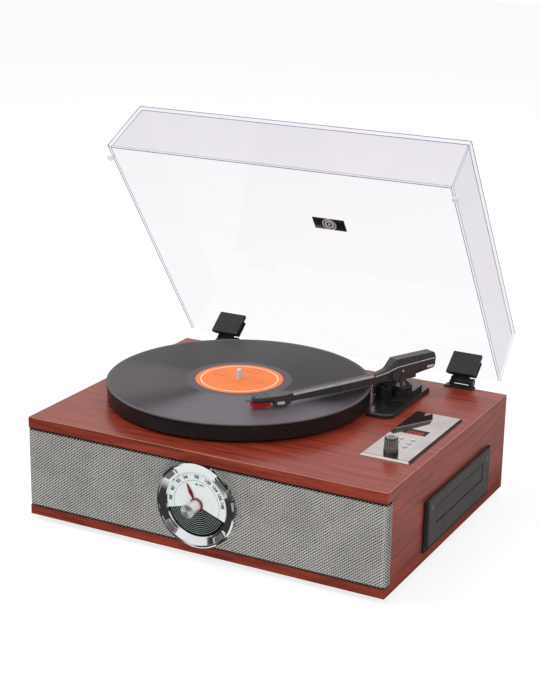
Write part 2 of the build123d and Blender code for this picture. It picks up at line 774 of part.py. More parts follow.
def belt_loop(big, small, reach):
    """Outline of a belt round two wheels whose axes are reach apart along X."""
    lean = math.acos((big - small) / reach)
    corners = [
        (big * math.cos(lean), big * math.sin(lean)),
        (reach + small * math.cos(lean), small * math.sin(lean)),
        (reach + small * math.cos(lean), -small * math.sin(lean)),
        (big * math.cos(lean), -big * math.sin(lean)),
    ]
    return Circle(big) + Pos(reach, 0) * Circle(small) + polygon(corners)


def drive_belt():
    outer = belt_loop(DRIVE_R + GAP + BELT_T, PULLEY_R + GAP + BELT_T, PULLEY_REACH)
    inner = belt_loop(DRIVE_R + GAP, PULLEY_R + GAP, PULLEY_REACH)
    low = PULLEY_FOOT + (PULLEY_H - BELT_H) / 2
    loop = extrude(Pos(0, 0, low) * (outer - inner), amount=BELT_H)
    return TURNTABLE * Rot(0, 0, PULLEY_ANGLE) * loop


# ---------------------------------------------------------------- tonearm, X forward along the tube
ARM = Pos(PIVOT_X, PIVOT_Y, 0) * Rot(0, 0, ARM_TURN)
HEAD = ARM * Pos(ARM_REACH, 0, 0) * Rot(0, 0, HEAD_TURN)
BOX_HALF = BOX_W / 2
EAR_IN = BOX_HALF + EAR_GAP
EAR_OUT = EAR_IN + EAR_T
CUE_X = PIVOT_X + CUE_REACH * math.cos(math.radians(ARM_TURN + CUE_TURN))
CUE_Y = PIVOT_Y + CUE_REACH * math.sin(math.radians(ARM_TURN + CUE_TURN))


def arm_section(s, half, low, seam, high, crown):
    """A six-sided section of the arm at distance s: underside, widest line (seam) and roof."""
    foot = half * 0.86
    corners = [(-foot, low), (foot, low), (half, seam), (crown, high), (-crown, high), (-half, seam)]
    return Face(Wire.make_polygon([Vector(s, y, z) for y, z in corners], close=True))


TUBE_LOW = ARM_Z - 5.8
STEP_S = -15.5  # step in the housing's underside


def arm_shell():
    tip_half = BOX_HALF - ARM_TAIL_CHAMFER / 2
    tube = [
        arm_section(ARM_REACH, 3.6, TUBE_LOW + TUBE_RISE, ARM_Z + 3.0, HEAD_ROOF - GAP, 2.0),
        arm_section(ARM_REACH * 0.63, 4.0, TUBE_LOW + 0.3, ARM_Z + 2.6, ARM_Z + 4.8, 2.2),
        arm_section(TUBE_START, 4.3, TUBE_LOW, ARM_Z + 2.6, ARM_Z + 5.0, 2.6),
        arm_section(NECK_S, 5.4, TUBE_LOW, ARM_Z + 5.2, ARM_Z + 8.6, 3.4),
        arm_section(BOX_FRONT, BOX_HALF, TUBE_LOW - 0.6, ARM_Z + BOX_SEAM - 1.0, ARM_Z + BOX_ROOF, BOX_CROWN),
        arm_section(STEP_S, BOX_HALF, TUBE_LOW - 1.0, ARM_Z + BOX_SEAM, ARM_Z + BOX_ROOF, BOX_CROWN),
    ]
    tail = [
        arm_section(STEP_S, BOX_HALF, TUBE_LOW + 3.0, ARM_Z + BOX_SEAM, ARM_Z + BOX_ROOF, BOX_CROWN),
        arm_section(
            ARM_TAIL_CHAMFER - ARM_REAR, BOX_HALF, TUBE_LOW + 6.0, ARM_Z + BOX_SEAM + 0.8, ARM_Z + BOX_ROOF, BOX_CROWN
        ),
        arm_section(
            -ARM_REAR, tip_half, TUBE_LOW + 8.5, ARM_Z + BOX_SEAM + 0.8, ARM_Z + BOX_ROOF - 1.8, BOX_CROWN - 1.0
        ),
    ]
    shell = Solid.make_loft([f.outer_wire() for f in tube], ruled=True)
    shell = Part(shell.wrapped) + Part(Solid.make_loft([f.outer_wire() for f in tail], ruled=True).wrapped)
    shell -= rod_y(PITCH_S, PITCH_Z, -BOX_W, BOX_W, PITCH_R + FIT)
    pocket = WEIGHT_L / 2 + SEAT
    shell -= rod_x(0, WEIGHT_Z, WEIGHT_S - pocket, WEIGHT_S + pocket, WEIGHT_R + SEAT)
    mouth = WEIGHT_R + SEAT
    shell -= block(WEIGHT_S - pocket, WEIGHT_S + pocket, -mouth, mouth, WEIGHT_Z - 2 * WEIGHT_R, WEIGHT_Z)
    return ARM * shell


def counterweight():
    half = WEIGHT_L / 2
    body = rod_x(0, WEIGHT_Z, WEIGHT_S - half, WEIGHT_S + half, WEIGHT_R)
    return ARM * chamfer(body.edges(), 0.5)


def arm_pin():
    return ARM * rod_y(PITCH_S, PITCH_Z, -EAR_OUT, EAR_OUT, PITCH_R)


def yoke_ear(side):
    """Upright cheek of the yoke: a round crown leaning over the cue platform, sloping to the rear, with a pocket."""
    y0 = EAR_IN if side > 0 else -EAR_OUT
    neck_low = H + CUE_TOP + GAP
    neck_high = EAR_CROWN_Z - EAR_CROWN - 2 * GAP
    outline = [
        (-EAR_REAR, YOKE_Z),
        (EAR_FRONT, YOKE_Z),
        (EAR_FRONT, neck_low),
        (EAR_NECK, neck_low + EAR_NECK - EAR_FRONT),
        (EAR_NECK, neck_high),
        (EAR_CROWN_S, EAR_CROWN_Z - EAR_CROWN),
        (EAR_CROWN_S, EAR_CROWN_Z),
        (EAR_CROWN_S - EAR_CROWN * 0.66, EAR_CROWN_Z + EAR_CROWN * 0.75),
        (-EAR_REAR, YOKE_Z + YOKE_WEB),
    ]
    cheek = extrude(Pos(0, y0 + EAR_T, 0) * (Plane.XZ * polygon(outline)), amount=EAR_T)
    cheek += rod_y(EAR_CROWN_S, EAR_CROWN_Z, y0, y0 + EAR_T, EAR_CROWN)
    pocket_foot = YOKE_Z + YOKE_WEB + 1.0
    pocket = [
        (-EAR_REAR + EAR_POCKET_BACK, pocket_foot),
        (EAR_FRONT - EAR_POCKET_FRONT, pocket_foot),
        (EAR_FRONT - EAR_POCKET_FRONT - EAR_POCKET_LEAN, pocket_foot + EAR_POCKET_H),
    ]
    cheek -= extrude(Pos(0, y0 + EAR_T, 0) * (Plane.XZ * polygon(pocket)), amount=EAR_T)
    return cheek - rod_y(PITCH_S, PITCH_Z, y0, y0 + EAR_T, PITCH_R)


def arm_yoke():
    web = block(-EAR_REAR, EAR_FRONT, -EAR_OUT, EAR_OUT, YOKE_Z, YOKE_Z + YOKE_WEB)
    shaft = post(0, 0, YOKE_Z - YOKE_SHAFT_L, YOKE_Z, YOKE_SHAFT_R)
    return ARM * (web + shaft + yoke_ear(1) + yoke_ear(-1))


def headshell():
    """Flat shell with a thick neck at the tube and a finger lift at the front."""
    low = HEAD_Z
    half = HEAD_W / 2
    roof = HEAD_ROOF
    reach = 2 * HEAD_W  # of the cutting blocks, past every side
    profile = [
        (0, TUBE_LOW + TUBE_RISE),
        (3.0, HEAD_KEEL),
        (HEAD_BOX_L - 3.0, HEAD_KEEL),
        (HEAD_BOX_L, HEAD_KEEL + 2.0),
        (HEAD_BOX_L, low),
        (HEAD_L, low),
        (HEAD_L, low + HEAD_T - 1.0),
        (HEAD_L - 2.0, low + HEAD_T),
        (3.0, roof),
        (0, roof),
    ]
    body = extrude(Pos(0, half, 0) * (Plane.XZ * polygon(profile)), amount=HEAD_W)
    plan = [
        (-0.6, -3.6),
        (-0.6, 3.6),
        (10.0, half),
        (HEAD_L - 5.0, half),
        (HEAD_L, half - 2.5),
        (HEAD_L, -half + 2.5),
        (HEAD_L - 5.0, -half),
        (10.0, -half),
    ]
    body &= extrude(Pos(0, 0, low - reach) * polygon(plan), amount=2 * reach)
    # the tube's slanted end meets the neck in the plane across the arm
    body -= ARM_TO_HEAD * block(-reach, 0, -reach, reach, low - reach, roof + reach)
    for s in (HEAD_BOX_L + 4.0, HEAD_BOX_L + 12.0):
        for t in (-HEAD_SLOT_Y, HEAD_SLOT_Y):
            body -= block(s, s + HEAD_SLOT_L, t - HEAD_SLOT_W / 2, t + HEAD_SLOT_W / 2, low, roof)
    blade = extrude(Pos(HEAD_L, 0, low) * polygon([(-3, 1), (-3, 5), (FINGER_L, 1.5), (FINGER_L, 0)]), amount=1.0)
    return HEAD * (body + blade)


ARM_TO_HEAD = Rot(0, 0, -HEAD_TURN)


def cartridge():
    back = STYLUS_S - CART_L / 2
    body = block(back, back + CART_L, -CART_W / 2, CART_W / 2, HEAD_Z - CART_H, HEAD_Z)
    return HEAD * body


def stylus():
    """Red stylus holder under the cartridge, with its cantilever and tip."""
    top = HEAD_Z - CART_H
    tip = RECORD_Z + STYLUS_FREE
    low = tip + 1.0
    back = STYLUS_S - CART_L / 2
    half = CART_W / 2
    profile = [
        (back + 1.0, low + 1.0),
        (back + CART_L - 3.0, low),
        (back + CART_L + 1.0, low + 0.6),
        (back + CART_L + 1.0, top),
        (back, top),
    ]
    holder = extrude(Pos(0, half, 0) * (Plane.XZ * polygon(profile)), amount=CART_W)
    needle = Pos(STYLUS_S, 0, (tip + low + 0.5) / 2) * Cone(0.15, 0.6, low + 0.5 - tip)
    return HEAD * (holder + needle)


def tonearm_base():
    corner = BASE_CORNER
    rear = BASE_REAR_CORNER
    outline = [
        (BASE_X0, BASE_Y0),
        (BASE_X1 - corner, BASE_Y0),
        (BASE_X1, BASE_Y0 + corner * 0.8),
        (BASE_X1, BASE_Y1 - rear),
        (BASE_X1 - rear, BASE_Y1),
        (BASE_X0 + corner, BASE_Y1),
        (BASE_X0, BASE_Y1 - corner),
    ]
    plan = polygon(outline) - Pos(PLATTER_X, PLATTER_Y) * Circle(RECORD_R + BASE_CLEAR)
    plate = extrude(Pos(0, 0, H) * plan, amount=BASE_T)
    plate = chamfer(plate.faces().sort_by(Axis.Z)[-1].edges(), BASE_BEVEL)
    plate -= post(SPEED_X, SPEED_Y, H + BASE_T - SPEED_RECESS, H + BASE_T, SPEED_RECESS_R)
    left = PIVOT_X - BLOCK_LEFT
    right = BASE_X1 - BLOCK_RIGHT
    back = PIVOT_Y + BLOCK_REAR
    raised = polygon(
        [
            (right, PIVOT_Y - BLOCK_FRONT + 11.0),
            (PIVOT_X + 3.0, PIVOT_Y - BLOCK_FRONT),
            (PIVOT_X - 4.0, PIVOT_Y - BLOCK_FRONT + BLOCK_CUT),
            (left, PIVOT_Y - BLOCK_FRONT + 10.0),
            (left, back - BLOCK_CUT),
            (left + BLOCK_CUT, back),
            (right - 6.0, back),
            (right, back - 9.0),
        ]
    )
    plate += extrude(Pos(0, 0, H) * raised, amount=BLOCK_H)
    plate += post(PIVOT_X, PIVOT_Y, TOP_UNDER, H, BASE_BOSS_R)
    plate -= post(PIVOT_X, PIVOT_Y, YOKE_Z - YOKE_SHAFT_L, H + BLOCK_H, YOKE_SHAFT_R + FIT)
    plate -= post(SPEED_X, SPEED_Y, H, H + BASE_T, SPEED_SHAFT_R + FIT)
    return plate


def speed_knob():
    foot = H + BASE_T - SPEED_RECESS + GAP
    top = foot + SPEED_KNOB_H
    body = post(SPEED_X, SPEED_Y, foot, foot + 1.6, SPEED_KNOB_R)
    ridge = Pos(SPEED_X, SPEED_Y, (foot + top) / 2) * Rot(0, 0, 35) * Box(2 * SPEED_KNOB_R - 1.2, 3.2, top - foot)
    return body + ridge + post(SPEED_X, SPEED_Y, TOP_UNDER - 2.0, foot, SPEED_SHAFT_R)


def cue_column():
    bottom = H + BASE_T
    top = H + CUE_TOP
    drum = post(CUE_X, CUE_Y, bottom, top, CUE_R)
    drum = chamfer(drum.faces().sort_by(Axis.Z)[-1].edges(), 0.5)
    drum -= post(CUE_X, CUE_Y, bottom + 2.0, top, CUE_ROD_R + FIT)
    # boss on the left that carries the cue lever
    drum += rod_x(CUE_Y, LEVER_Z, CUE_X - CUE_R - 1.0, CUE_X - CUE_R + 2.0, 3.0)
    return drum - rod_x(CUE_Y, LEVER_Z, CUE_X - CUE_R - 1.0, CUE_X - CUE_R + 2.0, 1.0 + FIT)


def cue_platform():
    top = TUBE_LOW - CUE_FREE
    low = top - CUE_PLATE_T
    ring = post(0, 0, low, top, CUE_PLATE_OUT) - post(0, 0, low, top, CUE_PLATE_IN)
    sweep = CUE_SWEEP_IN + CUE_SWEEP_OUT
    middle = (CUE_SWEEP_OUT - CUE_SWEEP_IN) / 2
    plate = ARM * (ring & wedge(CUE_PLATE_OUT, middle, sweep, low, top))
    return plate + post(CUE_X, CUE_Y, H + BASE_T + 3.5, low, CUE_ROD_R)


def cue_lever():
    x1 = CUE_X - CUE_R - 1.0 - GAP
    x0 = x1 - LEVER_T
    blade = side_profile(
        [
            (CUE_Y - LEVER_R, LEVER_Z),
            (CUE_Y + LEVER_R, LEVER_Z),
            (CUE_Y + LEVER_TIP / 2, LEVER_TOP),
            (CUE_Y - LEVER_TIP / 2, LEVER_TOP),
        ],
        x0,
        x1,
    )
    return blade + rod_x(CUE_Y, LEVER_Z, x0, x1, LEVER_R) + rod_x(CUE_Y, LEVER_Z, x1, x1 + 3.0, 1.0)


# ---------------------------------------------------------------- control plate
WINDOW_BOX = (CONTROLS_X - WINDOW_W / 2, CONTROLS_X + WINDOW_W / 2, WINDOW_Y - WINDOW_L / 2, WINDOW_Y + WINDOW_L / 2)
SWITCH_BOARD_TOP = H + PLATE_T - PLATE_T - BUTTON_STEM - BUTTON_TRAVEL - SEAT - SWITCH_H


def button_places():
    for row in range(BUTTON_ROWS):
        for column in range(BUTTON_COLUMNS):
            x = CONTROLS_X + (column - (BUTTON_COLUMNS - 1) / 2) * BUTTON_PITCH_X
            y = BUTTONS_Y + ((BUTTON_ROWS - 1) / 2 - row) * BUTTON_PITCH_Y
            yield x, y


def control_plate():
    plate = block(PLATE_X0, PLATE_X1, PLATE_Y0, PLATE_Y1, H, H + PLATE_T)
    plate = chamfer(plate.faces().sort_by(Axis.Z)[-1].edges(), PLATE_BEVEL)
    x0, x1, y0, y1 = WINDOW_BOX
    plate -= block(x0 - SEAT, x1 + SEAT, y0 - SEAT, y1 + SEAT, H, H + PLATE_T)
    plate -= post(CONTROLS_X, VOL_Y, H, H + PLATE_T, VOL_SHAFT_R + GAP)
    groove = PLATE_Y0 + PLATE_LIP
    plate -= block(PLATE_X0, PLATE_X1, groove, groove + PLATE_GROOVE_W, H + PLATE_T - PLATE_GROOVE, H + PLATE_T)
    for x, y in button_places():
        plate -= post(x, y, H, H + PLATE_T, BUTTON_R + SEAT)
    return plate


def display_window():
    """Smoked lens with the display block behind it, standing on the switch board."""
    x0, x1, y0, y1 = WINDOW_BOX
    lens = block(x0, x1, y0, y1, H + PLATE_T - WINDOW_T, H + PLATE_T)
    return lens + block(x0 + 1, x1 - 1, y0 + 1, y1 - 1, SWITCH_BOARD_TOP, H + PLATE_T - WINDOW_T)


def switch_board():
    """Printed board under the plate, with a push switch under each button and the plate's studs."""
    inset = PLATE_REST + GAP
    x0, x1 = PLATE_X0 + inset, PLATE_X1 - inset
    y0, y1 = PLATE_Y0 + inset, PLATE_Y1 - inset
    low = SWITCH_BOARD_TOP - BOARD_T
    board = block(x0, x1, y0, y1, low, SWITCH_BOARD_TOP)
    for x, y in button_places():
        half = SWITCH_SIZE / 2
        board += block(x - half, x + half, y - half, y + half, SWITCH_BOARD_TOP, SWITCH_BOARD_TOP + SWITCH_H)
    for x in (x0 + 3.0, x1 - 3.0):
        for y in (y0 + 3.0, y1 - 3.0):
            board += post(x, y, SWITCH_BOARD_TOP, H, 2.0)
    return board - post(CONTROLS_X, VOL_Y, low, SWITCH_BOARD_TOP, VOL_SHAFT_R + FIT)


def push_button(x, y):
    top = H + PLATE_T + BUTTON_PROUD
    cap = post(x, y, H - BUTTON_FLANGE, top, BUTTON_R)
    cap = fillet(cap.faces().sort_by(Axis.Z)[-1].edges(), 0.8)
    cap += post(x, y, H - SEAT - BUTTON_FLANGE, H - SEAT, BUTTON_R + 0.9)
    return cap + post(x, y, H - BUTTON_STEM, H - SEAT, BUTTON_R - 0.7)


def volume_pot():
    half = POT_SIZE / 2
    top = SWITCH_BOARD_TOP - BOARD_T
    body = block(CONTROLS_X - half, CONTROLS_X + half, VOL_Y - half, VOL_Y + half, top - POT_H, top)
    return body - post(CONTROLS_X, VOL_Y, top - POT_H + 1.0, top, VOL_SHAFT_R + FIT)


def volume_knob():
    foot = H + PLATE_T + GAP
    top = foot + VOL_H
    middle = (foot + top) / 2
    body = Pos(CONTROLS_X, VOL_Y, middle) * Cone(VOL_R, VOL_TOP_R, VOL_H)
    body = chamfer(body.faces().sort_by(Axis.Z)[-1].edges(), VOL_CHAMFER)
    lean = math.degrees(math.atan((VOL_R - VOL_TOP_R) / VOL_H))
    rib_low = foot + VOL_SKIRT_H
    rib_high = top - 2 * VOL_CHAMFER
    for i in range(VOL_RIBS):
        cut = Rot(0, -lean, 0) * Cylinder(VOL_RIB_CUT, rib_high - rib_low)
        spoke = Rot(0, 0, i * 360 / VOL_RIBS) * Pos((VOL_R + VOL_TOP_R) / 2, 0, (rib_low + rib_high) / 2)
        body -= Pos(CONTROLS_X, VOL_Y, 0) * spoke * cut
    skirt = post(CONTROLS_X, VOL_Y, foot, foot + VOL_SKIRT_H, VOL_SKIRT_R)
    skirt = chamfer(skirt.faces().sort_by(Axis.Z)[-1].edges(), 0.3)
    stem = post(CONTROLS_X, VOL_Y, SWITCH_BOARD_TOP - BOARD_T - POT_H + 1.5, foot, VOL_SHAFT_R)
    return body + skirt + stem


# ---------------------------------------------------------------- CD unit
def chassis_walls():
    return (
        CD_Y - CHASSIS_L / 2,
        CD_Y + CHASSIS_L / 2,
        CD_Z - CHASSIS_H / 2,
        CD_Z + CHASSIS_H / 2,
    )


CD_FACE_X = RIGHT + CD_FLANGE_T + CD_FACE_T
TRAY_Y0 = CD_Y - TRAY_L / 2
TRAY_Y1 = CD_Y + TRAY_L / 2


def cd_screw_places():
    return [(CD_Y + sy * CD_SCREW_DY, CD_Z + sz * CD_SCREW_DZ) for sy in (-1, 1) for sz in (-1, 1)]


def cd_bezel():
    y, z = CD_Y + CD_FLANGE_DY, CD_Z + CD_FLANGE_DZ
    flange = block(
        RIGHT, RIGHT + CD_FLANGE_T, y - CD_FLANGE_L / 2, y + CD_FLANGE_L / 2, z - CD_FLANGE_H / 2, z + CD_FLANGE_H / 2
    )
    flange = chamfer(flange.faces().sort_by(Axis.X)[-1].edges(), 1.4)
    face = block(
        RIGHT,
        CD_FACE_X,
        CD_Y - CD_FACE_L / 2,
        CD_Y + CD_FACE_L / 2,
        CD_Z - CD_FACE_H / 2,
        CD_Z + CD_FACE_H / 2,
    )
    face = chamfer(face.faces().sort_by(Axis.X)[-1].edges(), 0.8)
    body = flange + face
    half = TRAY_H / 2
    body -= block(RIGHT, CD_FACE_X, TRAY_Y0, TRAY_Y1, TRAY_Z - half, TRAY_Z + half)
    for place in cd_screw_places():
        body -= rod_x(*place, RIGHT, CD_FACE_X, CD_SCREW_R + FIT)
        body -= rod_x(*place, CD_FACE_X - 1.2, CD_FACE_X, CD_SCREW_HEAD_R + SEAT)
    return body


def cd_screws():
    screws = []
    for place in cd_screw_places():
        head = rod_x(*place, CD_FACE_X - 1.2, CD_FACE_X + 0.2, CD_SCREW_HEAD_R)
        head -= Pos(CD_FACE_X, *place) * Box(1.0, 0.9, 3.6)
        head -= Pos(CD_FACE_X, *place) * Box(1.0, 3.6, 0.9)
        screws.append(head + rod_x(*place, CD_FACE_X - CD_SCREW_L, CD_FACE_X - 1.2, CD_SCREW_R))
    return screws


def cd_chassis():
    y0, y1, z0, z1 = chassis_walls()
    x0 = RIGHT - CHASSIS_DEPTH
    t = CHASSIS_T
    case = block(x0, RIGHT, y0, y1, z0, z1) - block(x0 + t, RIGHT, y0 + t, y1 - t, z0 + t, z1 - t)
    # rails that carry the tray, and posts for the bezel's screws
    rail_top = TRAY_Z - TRAY_H / 2 + GAP
    for wall, edge in ((y0 + t, TRAY_Y0 + RAIL_W), (y1 - t, TRAY_Y1 - RAIL_W)):
        case += block(x0 + t, RIGHT - CD_SCREW_L, min(wall, edge), max(wall, edge), rail_top - 3.0, rail_top)
    for y, z in cd_screw_places():
        case += rod_x(y, z, RIGHT - CD_SCREW_L, RIGHT, CD_SCREW_HEAD_R)
        outer = y1 - t if y > CD_Y else y0 + t
        case += block(RIGHT - CD_SCREW_L, RIGHT, min(y, outer), max(y, outer), z - 1.5, z + 1.5)
    for place in cd_screw_places():
        case -= rod_x(*place, RIGHT - CD_SCREW_L, RIGHT, CD_SCREW_R + FIT)
    return case


def cd_tray():
    half = TRAY_H / 2 - GAP
    front = block(RIGHT + GAP, CD_FACE_X - 0.4, TRAY_Y0 + GAP, TRAY_Y1 - GAP, TRAY_Z - half, TRAY_Z + half)
    front = fillet(front.faces().sort_by(Axis.X)[-1].edges(), 0.6)
    low = TRAY_Z - half + GAP
    x0 = RIGHT + GAP - TRAY_REACH
    plate = block(x0, RIGHT + GAP, TRAY_Y0 + 1.0, TRAY_Y1 - 1.0, low, low + TRAY_T)
    middle = RIGHT - DISC_BACK
    plate -= post(middle, CD_Y, low + TRAY_T - DISC_DEPTH, low + TRAY_T, DISC_R)
    plate -= post(middle, CD_Y, low, low + TRAY_T, DISC_WINDOW_R)
    plate -= block(x0, middle, CD_Y - DISC_WINDOW_R, CD_Y + DISC_WINDOW_R, low, low + TRAY_T)
    return front + plate


# ---------------------------------------------------------------- dust cover, built closed and then opened
HINGE_Y = REAR + HINGE_BACK
HINGE_Z = H + HINGE_UP
LID_Z0 = H + LID_RIM_UP
LID_Z1 = LID_Z0 + LID_H
LID_Y1 = REAR - LID_BACK
LID_Y0 = LID_Y1 - LID_D


def open_lid(shape):
    return shape.rotate(Axis((0, HINGE_Y, HINGE_Z), (1, 0, 0)), -LID_OPEN)


def lid_wall_y(z):
    """Outer face of the lid's rear wall at height z, closed."""
    return LID_Y1 - LID_REAR_DRAFT * (z - LID_Z0) / LID_H


def lid_frustum(inset, z0, z1):
    wires = []
    for z in (z0, z1):
        share = (z - LID_Z0) / LID_H
        half = LID_W / 2 - inset - LID_SIDE_DRAFT * share
        y0 = LID_Y0 + inset + LID_FRONT_DRAFT * share
        y1 = LID_Y1 - inset - LID_REAR_DRAFT * share
        corners = [Vector(-half, y0, z), Vector(half, y0, z), Vector(half, y1, z), Vector(-half, y1, z)]
        wires.append(Wire.make_polygon(corners, close=True))
    return Part(Solid.make_loft(wires, ruled=True).wrapped)


def dust_cover():
    cover = lid_frustum(0, LID_Z0, LID_Z1) - lid_frustum(LID_WALL, LID_Z0, LID_Z1 - LID_WALL)
    return open_lid(cover)


def lid_clip(x):
    """Clip that grips the rear wall, with the hinge's barrel behind and below it."""
    low = HINGE_Z - CLIP_WEB + 0.6
    top = low + CLIP_H
    back_top = low + CLIP_BACK_H
    rim = LID_Z0 - SEAT

    def front_face(z):
        return lid_wall_y(z) - LID_WALL - SEAT

    def rear_face(z):
        return lid_wall_y(z) + SEAT

    outline = [
        (front_face(rim) - CLIP_FRONT_T, low),
        (HINGE_Y, low),
        (HINGE_Y, rim + 1.0),
        (rear_face(rim) + CLIP_BACK_T, rim + 1.0),
        (rear_face(back_top) + CLIP_BACK_T, back_top),
        (rear_face(back_top), back_top),
        (rear_face(rim), rim),
        (front_face(rim), rim),
        (front_face(top), top),
        (front_face(top) - CLIP_FRONT_T, top),
    ]
    clip = side_profile(outline, x - CLIP_W / 2, x + CLIP_W / 2)
    waist = KNUCKLE_W / 2
    for x0, x1 in ((x - CLIP_W, x - waist), (x + waist, x + CLIP_W)):
        clip -= block(x0, x1, front_face(rim), HINGE_Y + BARREL_R, low, rim + 1.0)
    clip += rod_x(HINGE_Y, HINGE_Z, x - waist, x + waist, BARREL_R)
    return clip - rod_x(HINGE_Y, HINGE_Z, x - waist, x + waist, PIN_R + FIT)


def lid_bumper(side):
    x = side * (LID_W / 2 + BUMPER_OUT)
    return post(x, LID_Y0 + BUMPER_BACK, H + GAP, LID_Z0, BUMPER_R)


def lid_badge():
    y = (LID_Y0 + LID_Y1 + LID_FRONT_DRAFT - LID_REAR_DRAFT) / 2
    z = LID_Z1 - LID_WALL
    return block(-BADGE_W / 2, BADGE_W / 2, y - BADGE_L / 2, y + BADGE_L / 2, z - BADGE_T, z)


def hinge_bracket(x):
    """Foot on the board's rear edge with a leg down its back and two ears for the pin."""
    reach = KNUCKLE_W / 2 + GAP + EAR_W
    x0, x1 = x - reach, x + reach
    back = REAR + BRACKET_T
    low = H - BRACKET_DROP
    half = BRACKET_W / 2
    bracket = block(x - half, x + half, REAR - BRACKET_FLANGE, back, H, H + BRACKET_T)
    bracket += block(x - half, x + half, REAR, back, low, H)
    for ear in (x0, x1 - EAR_W):
        bracket += block(ear, ear + EAR_W, REAR - EAR_REACH, HINGE_Y, H, HINGE_Z + 1.0)
        bracket += rod_x(HINGE_Y, HINGE_Z, ear, ear + EAR_W, BRACKET_CROWN)
    return bracket - rod_x(HINGE_Y, HINGE_Z, x0, x1, PIN_R)


def hinge_pin(x):
    reach = KNUCKLE_W / 2 + GAP + EAR_W
    return rod_x(HINGE_Y, HINGE_Z, x - reach, x + reach, PIN_R)


# ---------------------------------------------------------------- rear sockets and boards
def rear_sockets():
    sockets = []
    for i in (0, 1):
        x = SOCKET_X + i * SOCKET_PITCH
        sleeve = rod_y(x, SOCKET_Z, REAR - REAR_T - 6.0, REAR + SOCKET_OUT, SOCKET_R)
        sleeve += rod_y(x, SOCKET_Z, REAR, REAR + 1.2, SOCKET_FLANGE_R)
        sleeve -= rod_y(x, SOCKET_Z, REAR - 2.0, REAR + SOCKET_OUT, 1.7)
        sockets.append(sleeve)
    half = INLET_W / 2
    inlet = block(INLET_X - half, INLET_X + half, REAR - INLET_D, REAR, SOCKET_Z - half, SOCKET_Z + half)
    inlet -= rod_y(INLET_X, SOCKET_Z, REAR - INLET_D + 2.0, REAR, INLET_BORE)
    inlet += rod_y(INLET_X, SOCKET_Z, REAR - INLET_D + 2.0, REAR - 1.5, INLET_PIN)
    return sockets + [inlet]


def power_rocker():
    """Rocker pressed in at its lower end; its pin turns in the rear panel."""
    half_w = ROCKER_W / 2
    half_h = ROCKER_H / 2
    y = REAR - REAR_T / 2
    lift = half_h * math.tan(math.radians(ROCKER_TURN / 2))
    outline = [
        (y, SOCKET_Z - half_h + 1.2),
        (REAR + ROCKER_PROUD - lift, SOCKET_Z - half_h + 0.6),
        (REAR + ROCKER_PROUD - 0.8, SOCKET_Z),
        (REAR + ROCKER_PROUD + lift, SOCKET_Z + half_h - 1.2),
        (y, SOCKET_Z + half_h - 2.2),
    ]
    body = side_profile(outline, ROCKER_X - half_w, ROCKER_X + half_w)
    return body + rocker_pin(ROCKER_PIN_R)


def main_board():
    """Amplifier and player board on four standoffs, with its heat sink and two capacitors."""
    z0 = FLOOR_IN + STANDOFF
    x0, x1 = MAIN_X - MAIN_W / 2, MAIN_X + MAIN_W / 2
    y0, y1 = MAIN_Y - MAIN_D / 2, MAIN_Y + MAIN_D / 2
    board = block(x0, x1, y0, y1, z0, z0 + BOARD_T)
    for x in (x0 + STANDOFF_INSET, x1 - STANDOFF_INSET):
        for y in (y0 + STANDOFF_INSET, y1 - STANDOFF_INSET):
            board += post(x, y, FLOOR_IN, z0, STANDOFF_R)
    front = y0 + PARTS_INSET
    top = z0 + HEATSINK_H
    sink_x1 = MAIN_X + PARTS_INSET
    board += block(sink_x1 - HEATSINK_W, sink_x1, front, front + HEATSINK_D, z0 + BOARD_T, top)
    for i in (1, 2):
        board += post(sink_x1 + i * CAPACITOR_PITCH, front + CAPACITOR_R, z0 + BOARD_T, top, CAPACITOR_R)
    return board


# ---------------------------------------------------------------- all the nodes
def build_nodes():
    nodes = {
        "top_board": top_board(),
        "bottom_board": bottom_board(),
        "side_board_left": side_board(-1),
        "side_board_right": side_board(1),
        "rear_panel": rear_panel(),
        "front_baffle": front_baffle(),
        "speaker_grille": speaker_grille(),
        "rubber_feet": rubber_feet(),
        "cabinet_screws": [bottom_screw(*place) for place in screw_places()],
        "speaker_frames": at_speakers(speaker_frame()),
        "speaker_cones": at_speakers(speaker_cone()),
        "dial_bezel": dial_bezel(),
        "dial_face": dial_face(),
        "tuner_module": tuner_module(),
        "dial_pointer": dial_pointer(),
        "tuning_knob": tuning_knob(),
        "platter": platter(),
        "vinyl_record": vinyl_record(),
        "record_label": record_label(),
        "spindle": spindle(),
        "platter_bearing": platter_bearing(),
        "motor_pulley": motor_pulley(),
        "drive_motor": drive_motor(),
        "drive_belt": drive_belt(),
        "tonearm_base": tonearm_base(),
        "speed_knob": speed_knob(),
        "cue_column": cue_column(),
        "cue_platform": cue_platform(),
        "cue_lever": cue_lever(),
        "arm_yoke": arm_yoke(),
        "arm_pin": arm_pin(),
        "arm_shell": arm_shell(),
        "counterweight": counterweight(),
        "headshell": headshell(),
        "cartridge": cartridge(),
        "stylus": stylus(),
        "control_plate": control_plate(),
        "display_window": display_window(),
        "switch_board": switch_board(),
        "volume_pot": volume_pot(),
        "volume_knob": volume_knob(),
        "cd_bezel": cd_bezel(),
        "cd_screws": cd_screws(),
        "cd_chassis": cd_chassis(),
        "cd_tray": cd_tray(),
        "dust_cover": dust_cover(),
        "lid_clips": [open_lid(lid_clip(side * HINGE_X)) for side in (-1, 1)],
        "lid_bumpers": [open_lid(lid_bumper(side)) for side in (-1, 1)],
        "lid_badge": open_lid(lid_badge()),
        "hinge_brackets": [hinge_bracket(side * HINGE_X) for side in (-1, 1)],
        "hinge_pins": [hinge_pin(side * HINGE_X) for side in (-1, 1)],
        "rear_sockets": rear_sockets(),
        "power_rocker": power_rocker(),
        "main_board": main_board(),
    }
    for number, place in enumerate(button_places(), start=1):
        nodes[f"button_{number}"] = push_button(*place)
    return nodes


